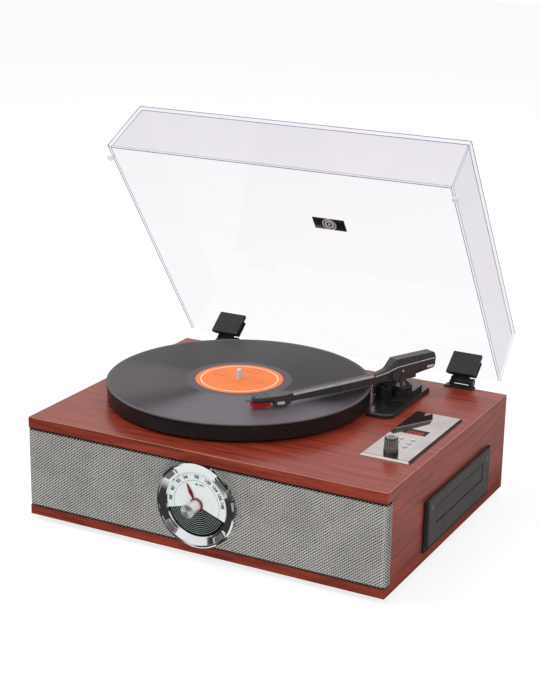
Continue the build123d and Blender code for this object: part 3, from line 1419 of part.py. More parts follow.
def as_compound(shape):
    """One compound of plain solids, whatever the piece was built from."""
    pieces = shape if isinstance(shape, list) else [shape]
    return Compound(children=[solid for piece in pieces for solid in piece.solids()])


def main():
    nodes = {name: as_compound(shape) for name, shape in build_nodes().items()}
    boxes = [shape.bounding_box() for shape in nodes.values()]
    middle_x = (min(b.min.X for b in boxes) + max(b.max.X for b in boxes)) / 2
    middle_y = (min(b.min.Y for b in boxes) + max(b.max.Y for b in boxes)) / 2
    for name, shape in nodes.items():
        export_step(Pos(-middle_x, -middle_y, 0) * shape, f"parts/{name}.step")
    print(f"{len(nodes)} nodes, moved by {-middle_x:.6f}, {-middle_y:.6f}")


main()
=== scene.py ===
"""A wooden music centre with a record player, a dial radio and a disc tray, dressed over its solid model.

Places are written in millimetres about the cabinet's centre on the floor, X to the right, Y to the rear and
Z up, and at() turns them into the frame's metres.
"""

import bmesh
import bpy
import json
import logging
import math
from collections.abc import Callable, Iterator
from contextlib import contextmanager
from dataclasses import dataclass, field
from enum import Enum
from typing import Any
from mathutils import Matrix, Vector

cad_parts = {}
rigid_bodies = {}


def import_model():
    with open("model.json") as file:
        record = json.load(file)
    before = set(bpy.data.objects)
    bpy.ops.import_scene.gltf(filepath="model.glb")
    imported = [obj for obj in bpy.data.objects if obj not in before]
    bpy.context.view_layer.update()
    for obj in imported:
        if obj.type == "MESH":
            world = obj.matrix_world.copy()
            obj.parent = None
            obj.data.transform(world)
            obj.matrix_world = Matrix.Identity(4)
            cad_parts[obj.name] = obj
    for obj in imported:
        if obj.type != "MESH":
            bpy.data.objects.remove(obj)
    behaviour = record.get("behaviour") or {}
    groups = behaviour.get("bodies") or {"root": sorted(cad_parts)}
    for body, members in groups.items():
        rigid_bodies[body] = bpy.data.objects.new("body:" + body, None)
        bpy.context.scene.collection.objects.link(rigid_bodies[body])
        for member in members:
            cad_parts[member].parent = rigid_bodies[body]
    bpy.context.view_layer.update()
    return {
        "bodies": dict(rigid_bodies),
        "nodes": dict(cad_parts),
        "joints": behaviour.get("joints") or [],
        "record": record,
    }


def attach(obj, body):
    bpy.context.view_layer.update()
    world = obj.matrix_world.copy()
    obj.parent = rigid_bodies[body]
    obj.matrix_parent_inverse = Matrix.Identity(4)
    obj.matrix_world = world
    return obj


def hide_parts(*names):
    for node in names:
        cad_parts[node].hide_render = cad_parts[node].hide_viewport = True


LOG = logging.getLogger("music_centre")
MM = 0.001
CABINET_CENTRE = Vector((-2.3, -16.172063, 0.0))
PRINT_DEPTH = 0.05
Triple = tuple[float, float, float]
Colour = Triple
Piece = bpy.types.Object
Socket = bpy.types.NodeSocket
Nodes = dict[str, Piece]
Test = Callable[[Any], bool] | None
Points = list[tuple[float, float]]


def mm(x: float, y: float, z: float) -> Vector:
    """Give a distance, written in millimetres, in metres."""
    return Vector((x, y, z)) * MM


def at(x: float, y: float, z: float) -> Vector:
    """Give a place about the cabinet's centre, in the frame's metres."""
    return (Vector((x, y, z)) + CABINET_CENTRE) * MM


def moved(x: float, y: float, z: float) -> Matrix:
    """Give a move of so many millimetres."""
    return Matrix.Translation(mm(x, y, z))


def turned(axis: str, degrees: float) -> Matrix:
    """Give a turn about an axis."""
    return Matrix.Rotation(math.radians(degrees), 4, axis)


def srgb(red: int, green: int, blue: int) -> Colour:
    """Turn a display colour of 0 to 255 into linear light."""
    parts = [c / 255 for c in (red, green, blue)]
    linear = [c / 12.92 if c <= 0.04045 else ((c + 0.055) / 1.055) ** 2.4 for c in parts]
    return (linear[0], linear[1], linear[2])


# ---------------------------------------------------------------- shader graphs
class Graph:
    """Adds and joins the nodes of one material, world or node group."""

    def __init__(self, tree: bpy.types.NodeTree) -> None:
        """Keep the tree that the nodes go into.

        Args:
            tree: The node tree to fill.
        """
        self.tree = tree

    def add(self, kind: str, inputs: dict[Any, Any] | None = None, **settings: Any) -> bpy.types.Node:
        """Add one node.

        Args:
            kind: The node's Blender type.
            inputs: Input names or numbers, each with a value or a socket to join to it.
            **settings: Attributes of the node, such as its operation.

        Returns:
            The new node.
        """
        node = self.tree.nodes.new(kind)
        for name, value in settings.items():
            setattr(node, name, value)
        for name, value in (inputs or {}).items():
            self.put(node.inputs[name], value)
        return node

    def put(self, socket: Socket, value: Any) -> None:
        """Give an input a value, a colour or another node's output.

        Args:
            socket: The input.
            value: A number, a colour, a vector or an output socket.
        """
        if isinstance(value, Socket):
            self.tree.links.new(value, socket)
        elif isinstance(value, tuple) and len(value) == 3 and socket.type == "RGBA":
            socket.default_value = (*value, 1.0)
        else:
            socket.default_value = value

    def math(self, operation: str, first: Any, second: Any = 0.0, third: Any = 0.0) -> Socket:
        """Add a Math node.

        Args:
            operation: The node's operation.
            first: First value or socket.
            second: Second value or socket.
            third: Third value or socket.

        Returns:
            Its output.
        """
        node = self.add("ShaderNodeMath", {0: first, 1: second, 2: third}, operation=operation)
        return node.outputs[0]

    def blend(self, share: Any, first: Any, second: Any, mode: str = "MIX") -> Socket:
        """Mix two colours.

        Args:
            share: How much of the second colour.
            first: First colour.
            second: Second colour.
            mode: The blend mode.

        Returns:
            The mixed colour.
        """
        node = self.add("ShaderNodeMix", data_type="RGBA", blend_type=mode)
        for number, value in ((0, share), (6, first), (7, second)):
            self.put(node.inputs[number], value)
        return node.outputs[2]

    def steps(self, value: Any, low: float, high: float, low_out: float = 0.0, high_out: float = 1.0) -> Any:
        """Map a value smoothly from one span to another.

        Args:
            value: The socket to map.
            low: Start of the span.
            high: End of the span.
            low_out: Result at the start.
            high_out: Result at the end.

        Returns:
            The mapped output.
        """
        inputs = {"Value": value, "From Min": low, "From Max": high, "To Min": low_out, "To Max": high_out}
        return self.add("ShaderNodeMapRange", inputs, interpolation_type="SMOOTHSTEP").outputs[0]

    def noise(self, vector: Any, scale: Any, detail: float = 3.0, roughness: float = 0.5) -> Socket:
        """Add a noise texture and give its value.

        Args:
            vector: Where it is read.
            scale: Its scale.
            detail: Its octaves.
            roughness: How strong the small octaves are.

        Returns:
            The value output.
        """
        inputs = {"Vector": vector, "Scale": scale, "Detail": detail, "Roughness": roughness}
        return self.add("ShaderNodeTexNoise", inputs).outputs[0]

    def vectors(self, operation: str, first: Any, second: Any, third: Any = Vector()) -> Socket:
        """Add a Vector Math node.

        Args:
            operation: The node's operation.
            first: First vector or socket.
            second: Second vector or socket.
            third: Third vector or socket.

        Returns:
            Its vector output.
        """
        node = self.add("ShaderNodeVectorMath", {0: first, 1: second, 2: third}, operation=operation)
        return node.outputs[0]

    def place(self, centre: Vector = Vector(), turn: Vector = Vector()) -> Socket:
        """Read Object coordinates, centred and turned.

        Args:
            centre: The point that becomes the pattern's origin.
            turn: Turn in radians.

        Returns:
            The mapped vector.
        """
        coordinates = self.add("ShaderNodeTexCoord").outputs["Object"]
        centred = self.vectors("SUBTRACT", coordinates, centre)
        return self.add("ShaderNodeMapping", {"Vector": centred, "Rotation": turn}).outputs[0]

    def stretch(self, vector: Any, along: float, across: float) -> Socket:
        """Scale a vector one way along X and another way across it."""
        return self.add("ShaderNodeMapping", {"Vector": vector, "Scale": (along, across, across)}).outputs[0]

    def apart(self, vector: Any) -> Any:
        """Give the X, Y and Z outputs of a vector."""
        return self.add("ShaderNodeSeparateXYZ", {0: vector}).outputs

    def facing(self) -> Socket:
        """Give the way that a face looks in the world, before any bump."""
        return self.add("ShaderNodeNewGeometry").outputs["True Normal"]

    def bump(self, height: Any, strength: float, distance: float) -> Socket:
        """Give a normal that leans with a height.

        Args:
            height: The height's socket.
            strength: Share of the lean.
            distance: The height's size in metres.

        Returns:
            The normal.
        """
        inputs = {"Height": height, "Strength": strength, "Distance": distance}
        return self.add("ShaderNodeBump", inputs).outputs[0]


def new_group(name: str, inputs: dict[str, Any], outputs: dict[str, str]) -> tuple[Graph, Any, Any]:
    """Start a shader node group.

    Args:
        name: The group's name.
        inputs: Input names with their default values: a number, a colour or a vector.
        outputs: Output names with their socket types.

    Returns:
        The group's graph, its input node and its output node.
    """
    tree = bpy.data.node_groups.new(name, "ShaderNodeTree")
    for key, value in inputs.items():
        kind = "NodeSocketVector" if isinstance(value, Vector) else "NodeSocketColor"
        kind = "NodeSocketFloat" if isinstance(value, float) else kind
        socket = tree.interface.new_socket(name=key, in_out="INPUT", socket_type=kind)
        if not isinstance(value, Vector):
            socket.default_value = (*value, 1.0) if isinstance(value, tuple) else value
    for key, kind in outputs.items():
        tree.interface.new_socket(name=key, in_out="OUTPUT", socket_type=kind)
    graph = Graph(tree)
    return graph, graph.add("NodeGroupInput"), graph.add("NodeGroupOutput")


class Effects:
    """The surface effects that several finishes share, each a node group."""

    def __init__(self) -> None:
        """Build every group once."""
        self.grain = self._grain()
        self.speckle = self._speckle()
        self.rings = self._rings()
        self.streaks = self._streaks()
        self.dust = self._dust()

    def _grain(self) -> bpy.types.NodeTree:
        """Build wood grain whose streaks run along X, or along Y on faces that look sideways.

        Returns:
            The group.
        """
        inputs = {"Vector": Vector(), "Normal": Vector()}
        inputs |= {"Dark": (0.1, 0.02, 0.01), "Light": (0.3, 0.07, 0.04)}
        outputs = {"Color": "NodeSocketColor", "Roughness": "NodeSocketFloat", "Height": "NodeSocketFloat"}
        graph, given, made = new_group("wood_grain", inputs, outputs)
        sideways = graph.math("ABSOLUTE", graph.apart(given.outputs["Normal"])["X"])
        sideways = graph.math("GREATER_THAN", sideways, 0.7)
        x, y, z = graph.apart(given.outputs["Vector"])
        swapped = graph.add("ShaderNodeCombineXYZ", {0: y, 1: x, 2: z})
        along = graph.add("ShaderNodeMix", data_type="VECTOR")
        graph.put(along.inputs[0], sideways)
        graph.put(along.inputs[4], given.outputs["Vector"])
        graph.put(along.inputs[5], swapped.outputs[0])
        line = along.outputs[1]
        push = graph.math("MULTIPLY", graph.noise(line, 5.0, 2.0), 0.02)
        sway = graph.add("ShaderNodeCombineXYZ", {1: push, 2: push}).outputs[0]
        bent = graph.vectors("ADD", line, sway)
        long_streak = graph.stretch(bent, 4.0, 96.0)
        fine_streak = graph.stretch(bent, 22.0, 520.0)
        broad = graph.noise(long_streak, 2.2, 3.0, 0.55)
        fine = graph.noise(fine_streak, 1.6, 4.0, 0.6)
        pores = graph.steps(graph.noise(fine_streak, 4.4, 2.0, 0.5), 0.62, 0.78)
        tone = graph.math("MULTIPLY_ADD", fine, 0.45, graph.math("MULTIPLY", broad, 0.75))
        tone = graph.steps(tone, 0.32, 0.84)
        colour = graph.blend(tone, given.outputs["Dark"], given.outputs["Light"])
        colour = graph.blend(graph.math("MULTIPLY", pores, 0.55), colour, given.outputs["Dark"])
        graph.put(made.inputs["Color"], colour)
        graph.put(made.inputs["Roughness"], graph.steps(fine, 0.3, 0.7, 0.3, 0.4))
        graph.put(made.inputs["Height"], graph.math("SUBTRACT", fine, graph.math("MULTIPLY", pores, 0.6)))
        return graph.tree

    def _speckle(self) -> bpy.types.NodeTree:
        """Build the fine uneven grain of moulded plastic, paint and card.

        Returns:
            The group.
        """
        inputs = {"Vector": Vector(), "Base": (0.5, 0.5, 0.5), "Tint": (0.4, 0.4, 0.4)}
        inputs |= {"Size": 2.0, "Gloss": 0.4, "Spread": 0.1}
        outputs = {"Color": "NodeSocketColor", "Roughness": "NodeSocketFloat", "Height": "NodeSocketFloat"}
        graph, given, made = new_group("moulded_speckle", inputs, outputs)
        scale = graph.math("DIVIDE", 1000.0, given.outputs["Size"])
        fine = graph.noise(given.outputs["Vector"], scale, 3.0, 0.6)
        broad = graph.noise(given.outputs["Vector"], graph.math("MULTIPLY", scale, 0.06), 2.0)
        patch = graph.math("MULTIPLY_ADD", fine, 0.4, graph.math("MULTIPLY", broad, 0.6))
        patch = graph.steps(patch, 0.3, 0.7)
        graph.put(made.inputs["Color"], graph.blend(patch, given.outputs["Base"], given.outputs["Tint"]))
        spread = graph.math("MULTIPLY", graph.math("SUBTRACT", broad, 0.5), given.outputs["Spread"])
        graph.put(made.inputs["Roughness"], graph.math("ADD", given.outputs["Gloss"], spread))
        graph.put(made.inputs["Height"], fine)
        return graph.tree

    def _rings(self) -> bpy.types.NodeTree:
        """Build fine rings about the vector's Z axis, for turned metal and pressed grooves.

        Returns:
            The group.
        """
        inputs = {"Vector": Vector(), "Pitch": 0.001, "Inner": 0.0, "Outer": 1.0}
        outputs = {"Height": "NodeSocketFloat", "Mask": "NodeSocketFloat", "Radius": "NodeSocketFloat"}
        graph, given, made = new_group("turned_rings", inputs, outputs)
        x, y, _ = graph.apart(given.outputs["Vector"])
        flat = graph.add("ShaderNodeCombineXYZ", {0: x, 1: y}).outputs[0]
        radius = graph.add("ShaderNodeVectorMath", {0: flat}, operation="LENGTH").outputs["Value"]
        phase = graph.math("DIVIDE", graph.math("MULTIPLY", radius, math.tau), given.outputs["Pitch"])
        wave = graph.math("MULTIPLY_ADD", graph.math("SINE", phase), 0.5, 0.5)
        inside = graph.math("GREATER_THAN", radius, given.outputs["Inner"])
        inside = graph.math("MULTIPLY", inside, graph.math("LESS_THAN", radius, given.outputs["Outer"]))
        graph.put(made.inputs["Height"], graph.math("MULTIPLY", wave, inside))
        graph.put(made.inputs["Mask"], inside)
        graph.put(made.inputs["Radius"], radius)
        return graph.tree

    def _streaks(self) -> bpy.types.NodeTree:
        """Build fine scratches along one axis, for brushed and rolled metal.

        Returns:
            The group.
        """
        inputs = {"Vector": Vector(), "Gloss": 0.2, "Spread": 0.1}
        outputs = {"Roughness": "NodeSocketFloat", "Height": "NodeSocketFloat", "Mask": "NodeSocketFloat"}
        graph, given, made = new_group("brushed_streaks", inputs, outputs)
        lines = graph.noise(graph.stretch(given.outputs["Vector"], 20.0, 900.0), 1.0, 3.0, 0.6)
        cloud = graph.noise(given.outputs["Vector"], 25.0, 2.0)
        uneven = graph.math("SUBTRACT", graph.math("ADD", lines, cloud), 1.0)
        spread = graph.math("MULTIPLY", uneven, given.outputs["Spread"])
        graph.put(made.inputs["Roughness"], graph.math("ADD", given.outputs["Gloss"], spread))
        graph.put(made.inputs["Height"], lines)
        graph.put(made.inputs["Mask"], graph.steps(cloud, 0.4, 0.7))
        return graph.tree

    def _dust(self) -> bpy.types.NodeTree:
        """Build a thin scatter of dust and handling marks.

        Returns:
            The group.
        """
        inputs = {"Vector": Vector(), "Amount": 0.2}
        graph, given, made = new_group("dust_and_marks", inputs, {"Mask": "NodeSocketFloat"})
        specks = graph.steps(graph.noise(given.outputs["Vector"], 1400.0, 1.0), 0.66, 0.8)
        cloud = graph.steps(graph.noise(given.outputs["Vector"], 18.0, 4.0, 0.6), 0.35, 0.75)
        scatter = graph.math("MULTIPLY", specks, cloud)
        graph.put(made.inputs["Mask"], graph.math("MULTIPLY", scatter, given.outputs["Amount"]))
        return graph.tree

    def use(self, graph: Graph, group: bpy.types.NodeTree, inputs: dict[str, Any]) -> bpy.types.Node:
        """Place a group in a material.

        Args:
            graph: The material's graph.
            group: The group.
            inputs: Its values and links.

        Returns:
            The group's node.
        """
        node = graph.tree.nodes.new("ShaderNodeGroup")
        node.node_tree = group
        for name, value in inputs.items():
            graph.put(node.inputs[name], value)
        return node


def start_material(name: str) -> tuple[bpy.types.Material, Graph, bpy.types.Node]:
    """Make a material with its Principled shader.

    Args:
        name: The material's name.

    Returns:
        The material, its graph and the shader.
    """
    material = bpy.data.materials.new(name)
    material.use_nodes = True
    return material, Graph(material.node_tree), material.node_tree.nodes["Principled BSDF"]


# ---------------------------------------------------------------- finishes
@dataclass(frozen=True)
class Finish:
    """A finish that can make its material."""

    name: str

    def material(self, effects: Effects) -> bpy.types.Material:
        """Build the material.

        Args:
            effects: The shared groups.

        Returns:
            The material.
        """
        raise NotImplementedError


@dataclass(frozen=True)
class Veneer(Finish):
    """Stained and lacquered wood."""

    dark: Colour
    light: Colour
    coat: float = 0.5

    def material(self, effects: Effects) -> bpy.types.Material:
        """Build grain under a thin lacquer.

        Args:
            effects: The shared groups.

        Returns:
            The material.
        """
        material, graph, shader = start_material(self.name)
        vector = graph.place()
        inputs = {"Vector": vector, "Normal": graph.facing(), "Dark": self.dark, "Light": self.light}
        grain = effects.use(graph, effects.grain, inputs)
        dust = effects.use(graph, effects.dust, {"Vector": vector, "Amount": 0.06})
        colour = graph.blend(dust.outputs["Mask"], grain.outputs["Color"], (0.5, 0.46, 0.42))
        graph.put(shader.inputs["Base Color"], colour)
        graph.put(shader.inputs["Roughness"], grain.outputs["Roughness"])
        graph.put(shader.inputs["Normal"], graph.bump(grain.outputs["Height"], 0.25, 0.0002))
        shader.inputs["Specular IOR Level"].default_value = 0.3
        shader.inputs["Coat Weight"].default_value = self.coat
        shader.inputs["Coat Roughness"].default_value = 0.2
        return material


@dataclass(frozen=True)
class Moulded(Finish):
    """Moulded plastic, paint, rubber, card or cloth paper: a base colour with an uneven fine grain."""

    base: Colour
    tint: Colour
    gloss: float
    size: float = 0.6
    depth: float = 0.00004
    coat: float = 0.0
    dust: float = 0.05
    shine: float = 0.4

    def material(self, effects: Effects) -> bpy.types.Material:
        """Build the speckled surface.

        Args:
            effects: The shared groups.

        Returns:
            The material.
        """
        material, graph, shader = start_material(self.name)
        vector = graph.place()
        inputs = {"Vector": vector, "Base": self.base, "Tint": self.tint}
        inputs |= {"Size": self.size, "Gloss": self.gloss}
        speckle = effects.use(graph, effects.speckle, inputs)
        dust = effects.use(graph, effects.dust, {"Vector": vector, "Amount": self.dust})
        colour = graph.blend(dust.outputs["Mask"], speckle.outputs["Color"], (0.5, 0.5, 0.5))
        graph.put(shader.inputs["Base Color"], colour)
        graph.put(shader.inputs["Roughness"], speckle.outputs["Roughness"])
        graph.put(shader.inputs["Normal"], graph.bump(speckle.outputs["Height"], 0.4, self.depth))
        shader.inputs["Specular IOR Level"].default_value = self.shine
        shader.inputs["Coat Weight"].default_value = self.coat
        shader.inputs["Coat Roughness"].default_value = 0.08
        return material


@dataclass(frozen=True)
class Metal(Finish):
    """Plated, rolled or brushed metal, which can carry painted shade on faces that look forward."""

    colour: Colour
    gloss: float
    spread: float = 0.04
    depth: float = 0.00001
    painted_front_shade: float = 1.0

    def material(self, effects: Effects) -> bpy.types.Material:
        """Build the streaked metal.

        Args:
            effects: The shared groups.

        Returns:
            The material.
        """
        material, graph, shader = start_material(self.name)
        vector = graph.place()
        inputs = {"Vector": vector, "Gloss": self.gloss, "Spread": self.spread}
        streaks = effects.use(graph, effects.streaks, inputs)
        colour = graph.blend(streaks.outputs["Mask"], self.colour, tuple(c * 0.86 for c in self.colour))
        # Painted shade: faces that look forward are darkened, standing in for a dimmer reflection there.
        if self.painted_front_shade < 1.0:
            front = graph.math("LESS_THAN", graph.apart(graph.facing())["Y"], -0.3)
            colour = graph.blend(front, colour, tuple(c * self.painted_front_shade for c in self.colour))
        graph.put(shader.inputs["Base Color"], colour)
        graph.put(shader.inputs["Roughness"], streaks.outputs["Roughness"])
        graph.put(shader.inputs["Normal"], graph.bump(streaks.outputs["Height"], 0.3, self.depth))
        shader.inputs["Metallic"].default_value = 1.0
        return material


@dataclass(frozen=True)
class SpunMetal(Finish):
    """Aluminium turned on its axis, whose fine rings spread the light across them; its face carries lobes of
    painted highlight and painted shade.
    """

    colour: Colour
    centre: Triple
    turn: Triple
    pitch: float = 0.0003
    gloss: float = 0.3
    anisotropy: float = 0.85
    painted_lobe_shade: float = 0.4
    metal_share: float = 0.6
    painted_lobe_turn: float = 0.9

    def material(self, effects: Effects) -> bpy.types.Material:
        """Build the ringed metal, with lobes of painted highlight and painted shade on its face.

        Args:
            effects: The shared groups.

        Returns:
            The material.
        """
        material, graph, shader = start_material(self.name)
        vector = graph.place(at(*self.centre), turn=Vector(self.turn))
        rings = effects.use(graph, effects.rings, {"Vector": vector, "Pitch": self.pitch})
        streaks = effects.use(graph, effects.streaks, {"Vector": vector, "Gloss": self.gloss, "Spread": 0.06})
        # Painted highlight and shade: bright and dark lobes by angle round the axis, on the face only, stand
        # in for the light that the rings spread.
        x, y, _ = graph.apart(vector)
        turn = graph.math("ARCTAN2", y, x)
        painted_lobes = graph.math("COSINE", graph.math("MULTIPLY_ADD", turn, 2.0, self.painted_lobe_turn))
        side = graph.math("GREATER_THAN", graph.apart(graph.facing())["Y"], -0.7)
        painted_lobes = graph.math("MAXIMUM", graph.steps(painted_lobes, -0.7, 0.7), side)
        ringed = graph.blend(rings.outputs["Height"], self.colour, tuple(c * 0.8 for c in self.colour))
        dark = tuple(c * self.painted_lobe_shade for c in self.colour)
        graph.put(shader.inputs["Base Color"], graph.blend(painted_lobes, dark, ringed))
        graph.put(shader.inputs["Roughness"], streaks.outputs["Roughness"])
        graph.put(shader.inputs["Normal"], graph.bump(rings.outputs["Height"], 0.25, 0.00002))
        shader.inputs["Metallic"].default_value = self.metal_share
        shader.inputs["Anisotropic"].default_value = self.anisotropy
        graph.put(shader.inputs["Tangent"], around_axis(graph, self.centre, self.turn))
        return material


def around_axis(graph: Graph, centre: Triple, turn: Triple) -> Socket:
    """Give the direction round an axis at each point of a turned surface.

    Args:
        graph: The material's graph.
        centre: A point of the axis, about the cabinet's centre.
        turn: The same turn as the surface's pattern, about X only.

    Returns:
        The direction, one long.
    """
    axis = Matrix.Rotation(-turn[0], 3, "X") @ Vector((0.0, 0.0, 1.0))
    coordinates = graph.add("ShaderNodeTexCoord").outputs["Object"]
    around = graph.vectors("CROSS_PRODUCT", axis, graph.vectors("SUBTRACT", coordinates, at(*centre)))
    return graph.vectors("NORMALIZE", around, Vector())


@dataclass(frozen=True)
class Vinyl(Finish):
    """Black vinyl with its groove bands and painted highlight fans."""

    centre: Triple
    groove_in: float
    groove_out: float
    sheen_turn: float = -1.0
    second_sheen_turn: float = -2.62
    second_sheen_share: float = 0.4

    def material(self, effects: Effects) -> bpy.types.Material:
        """Build the grooved disc, with painted highlight fans across the grooves.

        Args:
            effects: The shared groups.

        Returns:
            The material.
        """
        material, graph, shader = start_material(self.name)
        vector = graph.place(at(*self.centre))
        limits = {"Inner": self.groove_in * MM, "Outer": self.groove_out * MM}
        fine = effects.use(graph, effects.rings, {"Vector": vector, "Pitch": 0.0006, **limits})
        dust = effects.use(graph, effects.dust, {"Vector": vector, "Amount": 0.25})
        radius = graph.math("MULTIPLY", fine.outputs["Radius"], 420.0)
        tone = graph.noise(graph.add("ShaderNodeCombineXYZ", {0: radius}).outputs[0], 1.0, 4.0, 0.65)
        base = graph.blend(tone, srgb(16, 12, 15), srgb(46, 39, 43))
        # Painted highlight: two bright fans at set turns round the centre lighten the grooved field, standing
        # in for the grooves' sheen.
        x, y, _ = graph.apart(vector)
        turn = graph.math("ARCTAN2", y, x)
        painted_fan = graph.steps(graph.math("COSINE", graph.math("SUBTRACT", turn, self.sheen_turn)), 0.58, 0.84)
        aside = graph.math("COSINE", graph.math("SUBTRACT", turn, self.second_sheen_turn))
        painted_fan = graph.math("MAXIMUM", painted_fan, graph.steps(aside, 0.8, 0.98, 0.0, self.second_sheen_share))
        painted_sheen = graph.math("MULTIPLY", painted_fan, graph.steps(tone, 0.3, 0.7, 0.45, 1.0))
        base = graph.blend(painted_sheen, base, srgb(112, 104, 111))
        base = graph.blend(fine.outputs["Mask"], srgb(78, 73, 76), base)
        graph.put(shader.inputs["Base Color"], graph.blend(dust.outputs["Mask"], base, (0.4, 0.4, 0.4)))
        graph.put(shader.inputs["Normal"], graph.bump(fine.outputs["Height"], 0.35, 0.00006))
        graph.put(shader.inputs["Roughness"], graph.steps(tone, 0.2, 0.8, 0.28, 0.31))
        shader.inputs["Anisotropic"].default_value = 0.8
        shader.inputs["Specular IOR Level"].default_value = 0.33
        graph.put(shader.inputs["Tangent"], around_axis(graph, self.centre, (0.0, 0.0, 0.0)))
        return material


@dataclass(frozen=True)
class Clear(Finish):
    """Clear acrylic sheet: tinted, see-through, with a mirror gloss that grows at a slant."""

    colour: Colour
    gloss: float = 0.02
    ior: float = 1.3

    def material(self, effects: Effects) -> bpy.types.Material:
        """Build clear plastic that lets light through to what stands under it.

        Args:
            effects: The shared groups.

        Returns:
            The material.
        """
        material, graph, shader = start_material(self.name)
        dust = effects.use(graph, effects.dust, {"Vector": graph.place(), "Amount": 0.03})
        colour = graph.blend(dust.outputs["Mask"], self.colour, (0.8, 0.8, 0.8))
        graph.put(shader.inputs["Base Color"], colour)
        graph.put(shader.inputs["Roughness"], graph.math("ADD", dust.outputs["Mask"], self.gloss))
        shader.inputs["Transmission Weight"].default_value = 1.0
        shader.inputs["IOR"].default_value = self.ior
        through = graph.add("ShaderNodeBsdfTransparent", {"Color": self.colour})
        path = graph.add("ShaderNodeLightPath")
        inside = graph.add("ShaderNodeNewGeometry").outputs["Backfacing"]
        fresnel = graph.add("ShaderNodeFresnel", {"IOR": self.ior}).outputs[0]
        surface = graph.math("MULTIPLY", fresnel, graph.math("SUBTRACT", 1.0, inside))
        surface = graph.math("MULTIPLY", surface, graph.math("SUBTRACT", 1.0, path.outputs["Is Shadow Ray"]))
        sheen = graph.add("ShaderNodeBsdfGlossy", {"Color": (1.0, 1.0, 1.0), "Roughness": self.gloss})
        clear = graph.add("ShaderNodeMixShader", {0: 0.0, 1: through.outputs[0], 2: shader.outputs[0]})
        mix = graph.add("ShaderNodeMixShader", {0: surface, 1: clear.outputs[0], 2: sheen.outputs[0]})
        graph.put(material.node_tree.nodes["Material Output"].inputs["Surface"], mix.outputs[0])
        return material


@dataclass(frozen=True)
class Lit(Finish):
    """Glowing display segments."""

    colour: Colour
    strength: float

    def material(self, effects: Effects) -> bpy.types.Material:
        """Build the glowing surface.

        Args:
            effects: The shared groups.

        Returns:
            The material.
        """
        material, graph, shader = start_material(self.name)
        cells = graph.noise(graph.place(), 900.0, 1.0)
        glow = graph.blend(cells, self.colour, tuple(c * 0.7 for c in self.colour))
        graph.put(shader.inputs["Base Color"], glow)
        graph.put(shader.inputs["Emission Color"], glow)
        shader.inputs["Emission Strength"].default_value = self.strength
        return material


